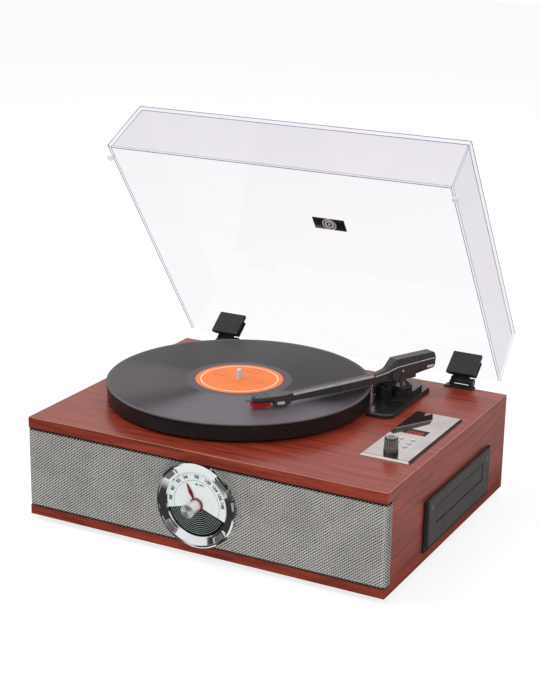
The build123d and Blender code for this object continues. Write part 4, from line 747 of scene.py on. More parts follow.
class Paint(Enum):
    """The finishes of this music centre."""

    CABINET = Veneer("cabinet_wood", srgb(100, 31, 20), srgb(164, 64, 42), coat=0.3)
    BOARD = Veneer("board_wood", srgb(60, 44, 30), srgb(110, 86, 60), coat=0.0)
    GRILLE = Metal("grille_metal", srgb(230, 227, 222), 0.34, 0.08, 0.00003)
    RUBBER = Moulded("rubber", srgb(26, 26, 26), srgb(38, 38, 38), 0.75, 0.5, 0.0001)
    ZINC = Metal("zinc_steel", srgb(168, 172, 174), 0.38, 0.12, 0.00003)
    STEEL = Metal("steel", srgb(150, 150, 152), 0.28)
    BLACK_STEEL = Moulded("black_steel", srgb(20, 20, 21), srgb(32, 32, 33), 0.5, 0.4)
    CONE = Moulded("paper_cone", srgb(30, 29, 28), srgb(46, 44, 42), 0.85, 1.2, 0.0003)
    CHROME = Metal("chrome", srgb(232, 232, 234), 0.05, 0.03)
    DIAL = Moulded("dial_print", srgb(250, 254, 254), srgb(240, 251, 248), 0.3, 0.5, 0.00001, 0.3)
    CIRCUIT = Moulded("circuit_board", srgb(18, 74, 44), srgb(28, 92, 58), 0.4, 0.8)
    # Mirror plate with painted shade on its forward-looking bevel.
    MIRROR = Metal("mirror_plate", srgb(220, 211, 208), 0.03, 0.01, 0.000001, painted_front_shade=0.94)
    SMOKED = Moulded("smoked_window", srgb(34, 30, 27), srgb(28, 25, 22), 0.2, 0.4, 0.000001, 0.0, 0.01, 0.08)
    CHARCOAL = Moulded("charcoal_paint", srgb(76, 70, 70), srgb(67, 62, 62), 0.5, 0.4, 0.00005, shine=0.25)
    BRASS = Metal("brass", srgb(196, 164, 96), 0.25)
    BELT = Moulded("belt_rubber", srgb(22, 22, 22), srgb(34, 33, 32), 0.7, 0.6, 0.0001)
    BASE = Moulded("base_plastic", srgb(30, 30, 31), srgb(38, 38, 39), 0.18, 0.5, 0.00002, 0.4)
    DARK = Moulded("dark_plastic", srgb(34, 32, 32), srgb(44, 41, 41), 0.3, 0.5, 0.00004)
    POLISHED = Metal("polished_steel", srgb(200, 200, 202), 0.12, 0.04)
    GLOSS = Moulded("black_gloss", srgb(30, 29, 29), srgb(37, 36, 36), 0.2, 0.4, 0.000004, 0.08, 0.02, 0.25)
    LABEL = Moulded("orange_label", srgb(248, 132, 54), srgb(240, 120, 46), 0.45, 1.4, 0.00003, 0.1)
    ARM = Moulded("arm_plastic", srgb(62, 59, 58), srgb(70, 67, 66), 0.26, 0.5, 0.00001, 0.15, 0.02, 0.3)
    SMOKED_CHROME = Moulded("smoked_chrome", srgb(78, 73, 71), srgb(66, 62, 60), 0.2, 0.5, 0.00001, 0.5, 0.01)
    SATIN = Moulded("satin_grey", srgb(176, 172, 169), srgb(158, 154, 152), 0.3, 0.5, 0.00001, 0.2)
    SILVER = Moulded("silver_print", srgb(222, 220, 222), srgb(200, 198, 201), 0.3, 0.5, 0.00001, 0.3)
    # Clear rubber bumpers painted white: a painted highlight.
    BUMPER = Moulded("clear_rubber_painted_highlight", srgb(246, 246, 248), srgb(236, 236, 240), 0.2, 0.5, 0.00001, 0.4)
    RED = Moulded("red_plastic", srgb(206, 18, 24), srgb(184, 12, 18), 0.25, 0.5, 0.00002, 0.3)
    NEEDLE = Moulded("needle_red", srgb(140, 22, 26), srgb(122, 16, 20), 0.3, 0.5, 0.00002, 0.3)
    GREY = Moulded("grey_plastic", srgb(120, 120, 122), srgb(104, 104, 108), 0.35, 0.5)
    ACRYLIC = Clear("clear_acrylic", (0.946, 0.938, 0.95), ior=1.24)
    # Painted reflection: lavender strips along the clear lid's folds.
    LID_EDGE = Moulded("acrylic_edge_painted_reflection", srgb(112, 110, 160), srgb(100, 98, 150), 0.2, 0.5, 0.00001, 0.4)
    # Spun aluminium whose face carries painted highlight and shade lobes.
    SPUN = SpunMetal("spun_aluminium", srgb(248, 246, 244), (0.0, -193.0, 63.3), (-math.pi / 2, 0.0, 0.0))
    INK = Moulded("black_ink", srgb(20, 24, 26), srgb(30, 32, 34), 0.4, 0.5)
    PALE_INK = Moulded("pale_ink", srgb(244, 244, 244), srgb(234, 234, 234), 0.4, 0.5)
    ORANGE_INK = Moulded("orange_ink", srgb(196, 92, 48), srgb(186, 84, 42), 0.4, 0.5)
    GREEN_INK = Moulded("dial_green", srgb(5, 13, 12), srgb(9, 19, 17), 0.35, 0.6, 0.00001, 0.0, 0.03, 0.2)
    RING_INK = Moulded("ring_ink", srgb(176, 192, 186), srgb(160, 176, 170), 0.4, 0.5)
    GREY_INK = Moulded("grey_ink", srgb(100, 108, 110), srgb(84, 92, 94), 0.4, 0.5)
    LUG = Moulded("lug_satin", srgb(112, 108, 116), srgb(96, 92, 100), 0.3, 0.5, 0.00003, 0.3)
    BLACK_GAP = Moulded("black_gap", srgb(12, 11, 11), srgb(18, 17, 17), 0.7, 0.5)
    # Painted highlight: a pale pink strip along the top board's edges.
    BEAD = Moulded("painted_edge_highlight", srgb(214, 150, 128), srgb(190, 118, 96), 0.2, 0.6, 0.00001, 0.5)
    LED = Lit("red_segments", srgb(206, 58, 46), 0.7)
    # Vinyl with painted highlight fans.
    VINYL = Vinyl("vinyl", (-49.0, 7.0, 142.0), 60.0, 147.0)


class Workshop:
    """Makes materials once, dresses solid nodes and fits each new piece to its body."""

    def __init__(self, nodes: Nodes) -> None:
        """Build the shared effects.

        Args:
            nodes: The solid model's nodes by name.
        """
        self.nodes = nodes
        self.effects = Effects()
        self.materials: dict[Paint, bpy.types.Material] = {}

    def finish(self, paint: Paint) -> bpy.types.Material:
        """Give a finish's material, built the first time it is asked for.

        Args:
            paint: The finish.

        Returns:
            Its material.
        """
        if paint not in self.materials:
            self.materials[paint] = paint.value.material(self.effects)
        return self.materials[paint]

    def dress(self, paint: Paint, *names: str) -> None:
        """Give solid nodes a finish.

        Args:
            paint: The finish.
            *names: The nodes.
        """
        for name in names:
            node = self.nodes[name]
            node.data.materials.clear()
            node.data.materials.append(self.finish(paint))
            LOG.info("dressed %s in %s", name, paint.value.name)

    def add(self, piece: Piece, body: str, paint: Paint, replaces: tuple[str, ...] = ()) -> None:
        """Fit a new piece: settle it, give it its finish, attach it to its body and hide the nodes it
        replaces.

        Args:
            piece: The finished object.
            body: The body it rides on.
            paint: Its finish.
            replaces: The nodes it stands for.
        """
        settle(piece)
        piece.data.materials.clear()
        piece.data.materials.append(self.finish(paint))
        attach(piece, body)
        if replaces:
            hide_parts(*replaces)
        LOG.info("made %s on %s: %d faces", piece.name, body, len(piece.data.polygons))


# ---------------------------------------------------------------- modelling
def deselect_all() -> None:
    """Leave nothing selected."""
    for other in bpy.context.view_layer.objects:
        other.select_set(False)


def make_current(piece: Piece) -> None:
    """Select one object alone and make it active."""
    deselect_all()
    piece.select_set(True)
    bpy.context.view_layer.objects.active = piece


def settle(piece: Piece) -> None:
    """Put an object's place, turn and size into its mesh."""
    make_current(piece)
    bpy.ops.object.transform_apply(location=True, rotation=True, scale=True)


def copied(piece: Piece, place: Matrix) -> Piece:
    """Copy a finished piece, with a mesh of its own, to another place.

    Args:
        piece: The piece, settled at the origin.
        place: The frame of the copy.

    Returns:
        The settled copy.
    """
    make_current(piece)
    bpy.ops.object.duplicate(linked=False)
    copy = bpy.context.object
    copy.matrix_world = place
    settle(copy)
    return copy


def repeated(name: str, piece: Piece, places: list[Matrix]) -> Piece:
    """Copy one piece to several places, join the copies and drop the first.

    Args:
        name: The joined piece's name.
        piece: The piece, settled at the origin.
        places: The frames of the copies.

    Returns:
        The joined copies.
    """
    copies = [copied(piece, place) for place in places]
    make_current(piece)
    bpy.ops.object.delete()
    return joined(name, copies)


def named(name: str) -> Piece:
    """Name the object that an operator has just made, and settle it."""
    piece = bpy.context.object
    piece.name = name
    settle(piece)
    return piece


@contextmanager
def editing(piece: Piece, faces: Test = None, edges: Test = None) -> Iterator[Any]:
    """Edit a mesh with the faces or edges that pass a test selected.

    Args:
        piece: The object to edit.
        faces: Test for the faces to select, or None.
        edges: Test for the edges to select, or None.

    Yields:
        The mesh being edited.
    """
    make_current(piece)
    bpy.ops.object.mode_set(mode="EDIT")
    bpy.context.tool_settings.mesh_select_mode = (False, edges is not None, edges is None)
    bpy.ops.mesh.select_all(action="DESELECT")
    mesh = bmesh.from_edit_mesh(piece.data)
    for part in (mesh.edges if edges is not None else mesh.faces):
        part.select_set((edges or faces or (lambda _: True))(part))
    bmesh.update_edit_mesh(piece.data)
    yield mesh
    bpy.ops.object.mode_set(mode="OBJECT")


def start_block(name: str, low: Vector, high: Vector) -> Piece:
    """Add a block between two corners.

    Args:
        name: The piece's name.
        low: Lowest corner.
        high: Highest corner.

    Returns:
        The settled piece.
    """
    deselect_all()
    bpy.ops.mesh.primitive_cube_add(size=1.0, location=(low + high) / 2, scale=high - low)
    return named(name)


def bevelled(piece: Piece, width: float, segments: int = 2) -> Piece:
    """Round every edge of a piece.

    Args:
        piece: The piece.
        width: Bevel width in millimetres.
        segments: Steps across it.

    Returns:
        The piece.
    """
    with editing(piece, edges=lambda edge: edge.is_manifold and edge.calc_face_angle(0.0) > 0.5):
        bpy.ops.mesh.bevel(offset=width * MM, segments=segments, profile=0.5)
    make_current(piece)
    bpy.ops.object.shade_smooth_by_angle(angle=math.radians(35))
    return piece


def start_disc(name: str, place: Matrix, radius: float, sides: int = 96) -> Piece:
    """Add a flat disc in its own place.

    Args:
        name: The piece's name.
        place: Its frame; the disc lies across the local Z axis.
        radius: Its radius in millimetres.
        sides: Points round it.

    Returns:
        The unsettled disc, so that it can be shaped about its own axis.
    """
    deselect_all()
    bpy.ops.mesh.primitive_circle_add(vertices=sides, radius=radius * MM, fill_type="NGON")
    piece = bpy.context.object
    piece.name = name
    piece.matrix_world = place
    return piece


def thicken(piece: Piece, depth: float) -> Piece:
    """Raise a flat face into a solid along its local Z axis.

    Args:
        piece: The flat piece.
        depth: Its thickness in millimetres.

    Returns:
        The piece.
    """
    along = piece.matrix_world.to_3x3() @ Vector((0.0, 0.0, depth * MM))
    with editing(piece):
        bpy.ops.mesh.normals_make_consistent(inside=False)
        bpy.ops.mesh.extrude_region_move(TRANSFORM_OT_translate={"value": along})
        bpy.ops.mesh.select_all(action="SELECT")
        bpy.ops.mesh.normals_make_consistent(inside=False)
    return piece


def ring(name: str, place: Matrix, inner: float, outer: float, depth: float, sides: int = 96) -> Piece:
    """Make a flat ring by insetting a disc and opening its middle.

    Args:
        name: The piece's name.
        place: Its frame.
        inner: Inner radius in millimetres.
        outer: Outer radius in millimetres.
        depth: Its thickness in millimetres.
        sides: Points round it.

    Returns:
        The ring.
    """
    piece = start_disc(name, place, outer, sides)
    with editing(piece):
        bpy.ops.mesh.inset(thickness=(outer - inner) * MM * math.cos(math.pi / sides))
        bpy.ops.mesh.delete(type="FACE")
    return thicken(piece, depth)


def spun(name: str, place: Matrix, profile: Points, sides: int = 128) -> Piece:
    """Turn a profile about a frame's Z axis.

    Args:
        name: The piece's name.
        place: Its frame.
        profile: Closed outline of (radius, height) points in millimetres.
        sides: Steps round it.

    Returns:
        The turned piece.
    """
    deselect_all()
    bpy.ops.mesh.primitive_circle_add(vertices=len(profile), radius=1.0, fill_type="NOTHING")
    piece = bpy.context.object
    piece.name = name
    for vertex, (radius, height) in zip(piece.data.vertices, profile):
        vertex.co = Vector((radius, 0.0, height)) * MM
    with editing(piece):
        bpy.ops.mesh.select_all(action="SELECT")
        bpy.ops.mesh.spin(steps=sides, angle=math.tau, center=(0.0, 0.0, 0.0), axis=(0.0, 0.0, 1.0))
        bpy.ops.mesh.select_all(action="SELECT")
        bpy.ops.mesh.remove_doubles(threshold=0.000001)
        bpy.ops.mesh.normals_make_consistent(inside=False)
    piece.matrix_world = place
    settle(piece)
    bpy.ops.object.shade_smooth_by_angle(angle=math.radians(30))
    return piece


def swept(name: str, place: Matrix, section: Points, path: list[Vector]) -> Piece:
    """Carry a flat section along a path.

    Args:
        name: The piece's name.
        place: Its frame.
        section: Closed outline of (y, z) points about each point of the path, in millimetres.
        path: The points, in millimetres.

    Returns:
        The settled bar.
    """
    deselect_all()
    bpy.ops.mesh.primitive_circle_add(vertices=len(section), radius=1.0, fill_type="NGON")
    piece = bpy.context.object
    piece.name = name
    for vertex, (across, up) in zip(piece.data.vertices, section):
        vertex.co = (path[0] + Vector((0.0, across, up))) * MM
    with editing(piece):
        for start, end in zip(path, path[1:]):
            bpy.ops.mesh.extrude_region_move(TRANSFORM_OT_translate={"value": (end - start) * MM})
        bpy.ops.mesh.select_all(action="SELECT")
        bpy.ops.mesh.normals_make_consistent(inside=False)
    piece.matrix_world = place
    settle(piece)
    return piece


def lettering(name: str, words: str, size: float, place: Matrix, bold: float = 0.0) -> Piece:
    """Cut plain words as thin raised shapes.

    Args:
        name: The piece's name.
        words: The text.
        size: Letter size in millimetres.
        place: The frame of its middle.
        bold: How far each letter's outline grows, in millimetres.

    Returns:
        The mesh.
    """
    deselect_all()
    bpy.ops.object.text_add()
    text = bpy.context.object
    text.data.body = words
    text.data.size = size * MM
    text.data.extrude = PRINT_DEPTH * MM / 2
    text.data.offset = bold * MM
    text.data.align_x = "CENTER"
    text.data.align_y = "CENTER"
    text.data.resolution_u = 3
    bpy.ops.object.convert(target="MESH")
    piece = bpy.context.object
    piece.name = name
    piece.matrix_world = place
    settle(piece)
    return piece


def joined(name: str, pieces: list[Piece]) -> Piece:
    """Join settled pieces into one.

    Args:
        name: The joined piece's name.
        pieces: The pieces.

    Returns:
        The joined piece.
    """
    make_current(pieces[0])
    for piece in pieces[1:]:
        piece.select_set(True)
    bpy.ops.object.join()
    pieces[0].name = name
    return pieces[0]


# ---------------------------------------------------------------- sub-assemblies
@dataclass
class Cabinet:
    """The wooden case with its rear panel, feet and screws."""

    width: float = 430.0
    depth: float = 338.0
    top: float = 120.5
    edge_highlight: float = 0.55
    screws_x: tuple[float, ...] = (-190.0, -64.0, 64.0, 190.0)
    screws_z: tuple[float, ...] = (24.0, 101.0)
    louvre_half: float = 40.0
    louvre_low: float = 40.0
    louvre_high: float = 84.0
    louvre_border: float = 3.0
    louvre_rows: int = 10
    shop: Workshop = field(repr=False, default=None)

    def build(self) -> None:
        """Dress the case and add the rear panel's screws and air slots."""
        self.shop.dress(Paint.CABINET, "top_board", "bottom_board", "side_board_left", "side_board_right")
        self.shop.dress(Paint.BOARD, "rear_panel", "front_baffle")
        self.shop.dress(Paint.RUBBER, "rubber_feet")
        self.shop.dress(Paint.ZINC, "cabinet_screws")
        self._rear_screws()
        self._air_slots()
        self._painted_edge_highlights()

    def _painted_edge_highlights(self) -> None:
        """Run a painted highlight, a thin pale strip, along the top board's front and side edges."""
        half = self.width / 2
        front = -self.depth / 2
        spans = [((-half + 0.9, front + 0.12), (half - 0.9, front + 0.12 + self.edge_highlight))]
        for side in (-1, 1):
            middle = side * (half - 0.4)
            spans.append(((middle - self.edge_highlight / 2, front + 0.9), (middle + self.edge_highlight / 2, -front - 0.9)))
        highlight_strips = []
        for (x0, y0), (x1, y1) in spans:
            edge_highlight = start_block("edge_highlight", at(x0, y0, self.top - 0.7), at(x1, y1, self.top - 0.05))
            highlight_strips.append(bevelled(edge_highlight, 0.18))
        self.shop.add(joined("painted_edge_highlights", highlight_strips), "root", Paint.BEAD)

    def _rear_screws(self) -> None:
        """Add the dished screws that hold the rear panel."""
        profile = [(0.7, 0.0), (3.2, 0.0), (3.2, 0.5), (2.2, 1.1), (1.0, 1.2), (0.7, 0.6)]
        screw = spun("rear_screw", Matrix.Identity(4), profile, 24)
        spots = [at(x, self.depth / 2, z) for x in self.screws_x for z in self.screws_z]
        places = [Matrix.Translation(spot) @ turned("X", -90) for spot in spots]
        self.shop.add(repeated("rear_screws", screw, places), "root", Paint.ZINC)

    def _air_slots(self) -> None:
        """Add a pressed louvre plate behind the amplifier."""
        rear = self.depth / 2
        low = at(-self.louvre_half, rear, self.louvre_low)
        plate = start_block("air_louvres", low, at(self.louvre_half, rear + 1.0, self.louvre_high))
        with editing(plate, faces=lambda face: face.normal.y > 0.9):
            bpy.ops.mesh.inset(thickness=self.louvre_border * MM)
            bpy.ops.mesh.subdivide(number_cuts=self.louvre_rows - 1)
        start = self.louvre_low + self.louvre_border
        span = self.louvre_high - self.louvre_border - start

        def is_louvre(face: Any) -> bool:
            """Tell whether a face lies in every second row of the plate's middle."""
            spot = (face.calc_center_median() - at(0.0, rear, start)) / MM
            inside = 0 < spot.z < span and abs(spot.x) < self.louvre_half - 3.5
            return face.normal.y > 0.9 and inside and int(spot.z / span * self.louvre_rows) % 2 == 0

        with editing(plate, faces=is_louvre):
            bpy.ops.mesh.extrude_region_move(TRANSFORM_OT_translate={"value": mm(0.0, 1.2, -0.6)})
        self.shop.add(plate, "root", Paint.BLACK_STEEL)


@dataclass
class Grille:
    """The embossed metal mesh over the speakers."""

    half_width: float = 215.6
    front: float = -169.6
    rear: float = -159.2
    low: float = 16.8
    high: float = 108.2
    corner: float = 4.5
    across: float = 4.07
    tall: float = 3.21
    wire: float = 0.62
    lift: float = 0.35
    hole: float = 43.4
    dial_z: float = 63.3
    bends: int = 6
    shop: Workshop = field(repr=False, default=None)

    def build(self) -> None:
        """Dress the backing sheet and lay the mesh over it."""
        self.shop.dress(Paint.BLACK_GAP, "speaker_grille")
        self.shop.dress(Paint.BLACK_STEEL, "speaker_frames")
        self.shop.dress(Paint.CONE, "speaker_cones")
        mesh = self._lattice()
        self._emboss(mesh)
        self._wrap(mesh)
        self.shop.add(mesh, "root", Paint.GRILLE)

    def _lattice(self) -> Piece:
        """Lay a turned grid over the front, cut it to the sheet and open every cell.

        Returns:
            The flat lattice.
        """
        flat = self.half_width - self.corner
        reach = flat + self.corner * math.pi / 2 + self.rear - self.front - self.corner
        side = self.across / math.sqrt(2)
        squash = self.tall / self.across
        span = reach + (self.high - self.low) / 2 / squash + self.across
        cells = 2 * math.ceil(span / self.across)
        deselect_all()
        bpy.ops.mesh.primitive_grid_add(x_subdivisions=cells, y_subdivisions=cells, size=cells * side * MM)
        sheet = bpy.context.object
        sheet.name = "grille_mesh"
        middle_z = (self.low + self.high) / 2
        sheet.matrix_world = turned("X", 90) @ turned("Z", 45)
        settle(sheet)
        flatten = Matrix.Scale(squash, 4, Vector((0.0, 0.0, 1.0)))
        sheet.matrix_world = Matrix.Translation(at(0.0, self.front - 0.05, middle_z)) @ flatten
        settle(sheet)
        half = (self.high - self.low) / 2 - self.tall / 4

        def outside(face: Any) -> bool:
            """Tell whether a cell reaches past the sheet or into the dial's hole."""
            place = face.calc_center_median() / MM - CABINET_CENTRE
            aside = Vector((place.x, place.z - self.dial_z)).length
            return abs(place.x) > reach or abs(place.z - middle_z) > half or aside < self.hole + self.tall / 2

        with editing(sheet, faces=outside):
            bpy.ops.mesh.delete(type="FACE")
        with editing(sheet):
            bpy.ops.mesh.select_all(action="SELECT")
            bpy.ops.mesh.normals_make_consistent(inside=False)
            bpy.ops.mesh.inset(thickness=self.wire * MM, use_individual=True)
            bpy.ops.mesh.delete(type="FACE")
        return sheet

    def _emboss(self, sheet: Piece) -> None:
        """Raise the crossings of the lattice, so that each wire rises and falls.

        Args:
            sheet: The flat lattice.
        """
        with editing(sheet) as mesh:
            bpy.context.tool_settings.mesh_select_mode = (True, False, False)
            for vertex in mesh.verts:
                vertex.select_set(len(vertex.link_edges) > 5)
            bmesh.update_edit_mesh(sheet.data)
            bpy.ops.transform.translate(value=(0.0, -self.lift * MM, 0.0))

    def _wrap(self, sheet: Piece) -> None:
        """Fold both ends back round the cabinet's corners, a small turn at a time.

        Args:
            sheet: The embossed lattice.
        """
        step = math.radians(90 / self.bends)
        spacing = self.corner * step
        flat = self.half_width - self.corner
        for side in (-1, 1):
            for number in range(self.bends, 0, -1):
                hinge = flat + (number - 0.5) * spacing
                with editing(sheet) as mesh:
                    bpy.context.tool_settings.mesh_select_mode = (True, False, False)
                    for vertex in mesh.verts:
                        vertex.select_set(side * (vertex.co / MM - CABINET_CENTRE).x > hinge)
                    bmesh.update_edit_mesh(sheet.data)
                    centre = at(side * hinge, self.front, 0.0)
                    bpy.ops.transform.rotate(value=-side * step, orient_axis="Z", center_override=centre)


@dataclass
class Dial:
    """The radio's dial with its bezel, pointer and knob."""

    centre_z: float = 63.3
    face_y: float = -172.0
    radius: float = 35.4
    dark_from: float = 194.0
    dark_to: float = 338.0
    ring_count: int = 12
    ring_from: float = 9.0
    circle_radius: float = 27.3
    number_radius: float = 31.3
    number_size: float = 5.4
    lug_radius: float = 41.6
    lug_end_radius: float = 46.4
    lug_bend: float = 92.0
    marks: tuple[tuple[str, float], ...] = (
        ("88", 176.0),
        ("90", 156.0),
        ("92", 134.0),
        ("94", 115.0),
        ("98", 90.0),
        ("100", 65.0),
        ("104", 46.0),
        ("106", 28.0),
        ("108", 11.0),
    )
    shop: Workshop = field(repr=False, default=None)

    def frame(self, out: float = 0.0) -> Matrix:
        """Give the dial's frame, its Z towards the listener, raised off the face by out millimetres."""
        return Matrix.Translation(at(0.0, self.face_y - out, self.centre_z)) @ turned("X", 90)

    def build(self) -> None:
        """Dress the dial and print its face."""
        self.shop.dress(Paint.CHROME, "dial_bezel")
        self.shop.dress(Paint.DIAL, "dial_face")
        self.shop.dress(Paint.NEEDLE, "dial_pointer")
        self.shop.dress(Paint.SPUN, "tuning_knob")
        self.shop.dress(Paint.ZINC, "tuner_module")
        self._dark_sector()
        self._rings()
        self._numbers()
        self._lugs()

    def _dark_sector(self) -> None:
        """Lay the dark lower sector: a disc with the pale sector's faces taken off."""
        sides = 120
        piece = start_disc("dial_dark_sector", self.frame(0.02), self.radius, sides)
        with editing(piece):
            bpy.ops.mesh.poke()

        def pale(face: Any) -> bool:
            """Tell whether a slice lies in the pale part."""
            place = face.calc_center_median()
            angle = math.degrees(math.atan2(place.y, place.x)) % 360
            return not self.dark_from < angle < self.dark_to

        with editing(piece, faces=pale):
            bpy.ops.mesh.delete(type="FACE")
        thicken(piece, 0.05)
        self.shop.add(piece, "root", Paint.GREEN_INK)

    def _arc(self, radius: float, width: float, start: float, end: float, out: float) -> Piece:
        """Make a thin printed arc.

        Args:
            radius: Its radius in millimetres.
            width: Its line width in millimetres.
            start: Where it starts, in degrees.
            end: Where it ends, in degrees.
            out: How far it stands off the face.

        Returns:
            The settled arc.
        """
        piece = ring("arc", self.frame(out), radius - width / 2, radius + width / 2, 0.04, 120)

        def away(face: Any) -> bool:
            """Tell whether a face lies outside the arc."""
            place = face.calc_center_median()
            angle = math.degrees(math.atan2(place.y, place.x)) % 360
            return not start <= angle <= end

        with editing(piece, faces=away):
            bpy.ops.mesh.delete(type="FACE")
        settle(piece)
        return piece

    def _rings(self) -> None:
        """Print the pale rings of the dark sector and the fine circle of the scale."""
        pitch = (self.radius - self.ring_from - 1.0) / self.ring_count
        rings = []
        for i in range(self.ring_count):
            radius = self.ring_from + i * pitch
            rings.append(self._arc(radius, 0.42, self.dark_from + 2, self.dark_to - 2, 0.08))
        self.shop.add(joined("dial_rings", rings), "root", Paint.RING_INK)
        spans = ((0.0, self.dark_from - 1), (self.dark_to + 1, 360.0))
        circle = [self._arc(self.circle_radius, 0.35, start, end, 0.02) for start, end in spans]
        self.shop.add(joined("dial_circle", circle), "root", Paint.GREY_INK)

    def _numbers(self) -> None:
        """Print the frequencies round the rim."""
        figures = []
        for words, angle in self.marks:
            spot = self.frame(0.04) @ turned("Z", angle) @ moved(self.number_radius, 0.0, 0.0)
            figures.append(lettering("figure", words, self.number_size, spot @ turned("Z", -90), bold=0.16))
        figures.append(lettering("unit", "FM  MHz", 3.0, self.frame(0.04) @ moved(3.6, 23.0, 0.0), bold=0.06))
        self.shop.add(joined("dial_numbers", figures), "root", Paint.INK)

    def _lugs(self) -> None:
        """Cap the bezel's four lugs with satin blocks, each with a dark curved end."""
        quarters = [self.frame() @ turned("Z", 45 + 90 * i) for i in range(4)]
        cap = start_block("lug", mm(-3.1, -6.9, -0.3), mm(3.1, 6.9, 0.35))
        with editing(cap, faces=lambda face: face.normal.x < -0.9):
            bpy.ops.transform.resize(value=(1.0, 0.84, 1.0))
        bevelled(cap, 0.25)
        end = start_block("lug_end", mm(-0.35, -8.6, -1.1), mm(0.3, 8.6, 1.1))
        with editing(end):
            bpy.ops.mesh.select_all(action="SELECT")
            bpy.ops.mesh.subdivide(number_cuts=6)
        for vertex in end.data.vertices:
            vertex.co.x -= (vertex.co.y / MM) ** 2 / self.lug_bend * MM
        slope = moved(self.lug_radius, 0.0, 4.75) @ turned("Y", -23.5)
        lean = moved(self.lug_end_radius, 0.0, 4.1) @ turned("Y", -42)
        caps = repeated("bezel_lugs", cap, [quarter @ slope for quarter in quarters])
        ends = repeated("lug_ends", end, [quarter @ lean for quarter in quarters])
        self.shop.add(ends, "root", Paint.BLACK_GAP)
        self.shop.add(caps, "root", Paint.LUG)


@dataclass
class Turntable:
    """Platter, record, label and what drives them."""

    x: float = -49.0
    y: float = 7.0
    board: float = 120.5
    platter_top: float = 19.5
    record_radius: float = 150.8
    record_thickness: float = 1.5
    hole: float = 3.65
    groove_out: float = 147.0
    groove_in: float = 59.0
    label_rim: float = 50.8
    label_words: tuple[tuple[str, float, float, float], ...] = (
        ("SIDE A", 0.0, 26.0, 6.0),
        ("33", 27.0, 0.0, 8.0),
        ("STEREO", -25.0, 0.0, 4.5),
    )
    shop: Workshop = field(repr=False, default=None)

    def frame(self, up: float) -> Matrix:
        """Give the platter's frame, raised above the board by up millimetres."""
        return Matrix.Translation(at(self.x, self.y, self.board + up))

    def build(self) -> None:
        """Dress the drive and make the grooved record and its label."""
        self.shop.dress(Paint.GLOSS, "platter")
        self.shop.dress(Paint.SILVER, "spindle")
        self.shop.dress(Paint.LABEL, "record_label")
        self.shop.dress(Paint.BRASS, "platter_bearing", "motor_pulley")
        self.shop.dress(Paint.ZINC, "drive_motor")
        self.shop.dress(Paint.BELT, "drive_belt")
        self._record()
        self._label()

    def _record(self) -> None:
        """Turn the record with its raised edge bead, its grooved field and its smooth run-out."""
        top = self.record_thickness
        edge = self.record_radius
        field_top = top - 0.05
        run_out = top - 0.1
        label_top = top - 0.02
        outline = [(self.hole, 0.0), (edge - 0.4, 0.0), (edge, 0.4), (edge, top - 0.4), (edge - 0.4, top)]
        outline += [(self.groove_out + 1.0, top), (self.groove_out + 0.2, field_top)]
        outline += [(self.groove_out, field_top), (self.groove_in + 0.2, field_top)]
        outline += [(self.groove_in, field_top), (self.groove_in - 0.4, run_out)]
        outline += [(self.groove_in - 0.6, run_out), (self.label_rim + 0.4, run_out)]
        outline += [(self.label_rim + 0.2, run_out), (self.label_rim - 0.2, label_top)]
        outline += [(self.label_rim - 0.4, label_top), (self.hole, label_top)]
        record = spun("grooved_record", self.frame(self.platter_top), outline, 192)
        self.shop.add(record, "turntable", Paint.VINYL, ("vinyl_record",))

    def _label(self) -> None:
        """Print the pale ring near the label's edge and a plain side mark."""
        up = self.platter_top + self.record_thickness + 0.2
        edge = ring("label_ring", self.frame(up), 43.2, 44.4, 0.03, 128)
        settle(edge)
        self.shop.add(edge, "turntable", Paint.PALE_INK)
        words = []
        for text, x, y, size in self.label_words:
            words.append(lettering("label_words", text, size, self.frame(up + 0.02) @ moved(x, y, 0.0)))
        self.shop.add(joined("label_words", words), "turntable", Paint.ORANGE_INK)


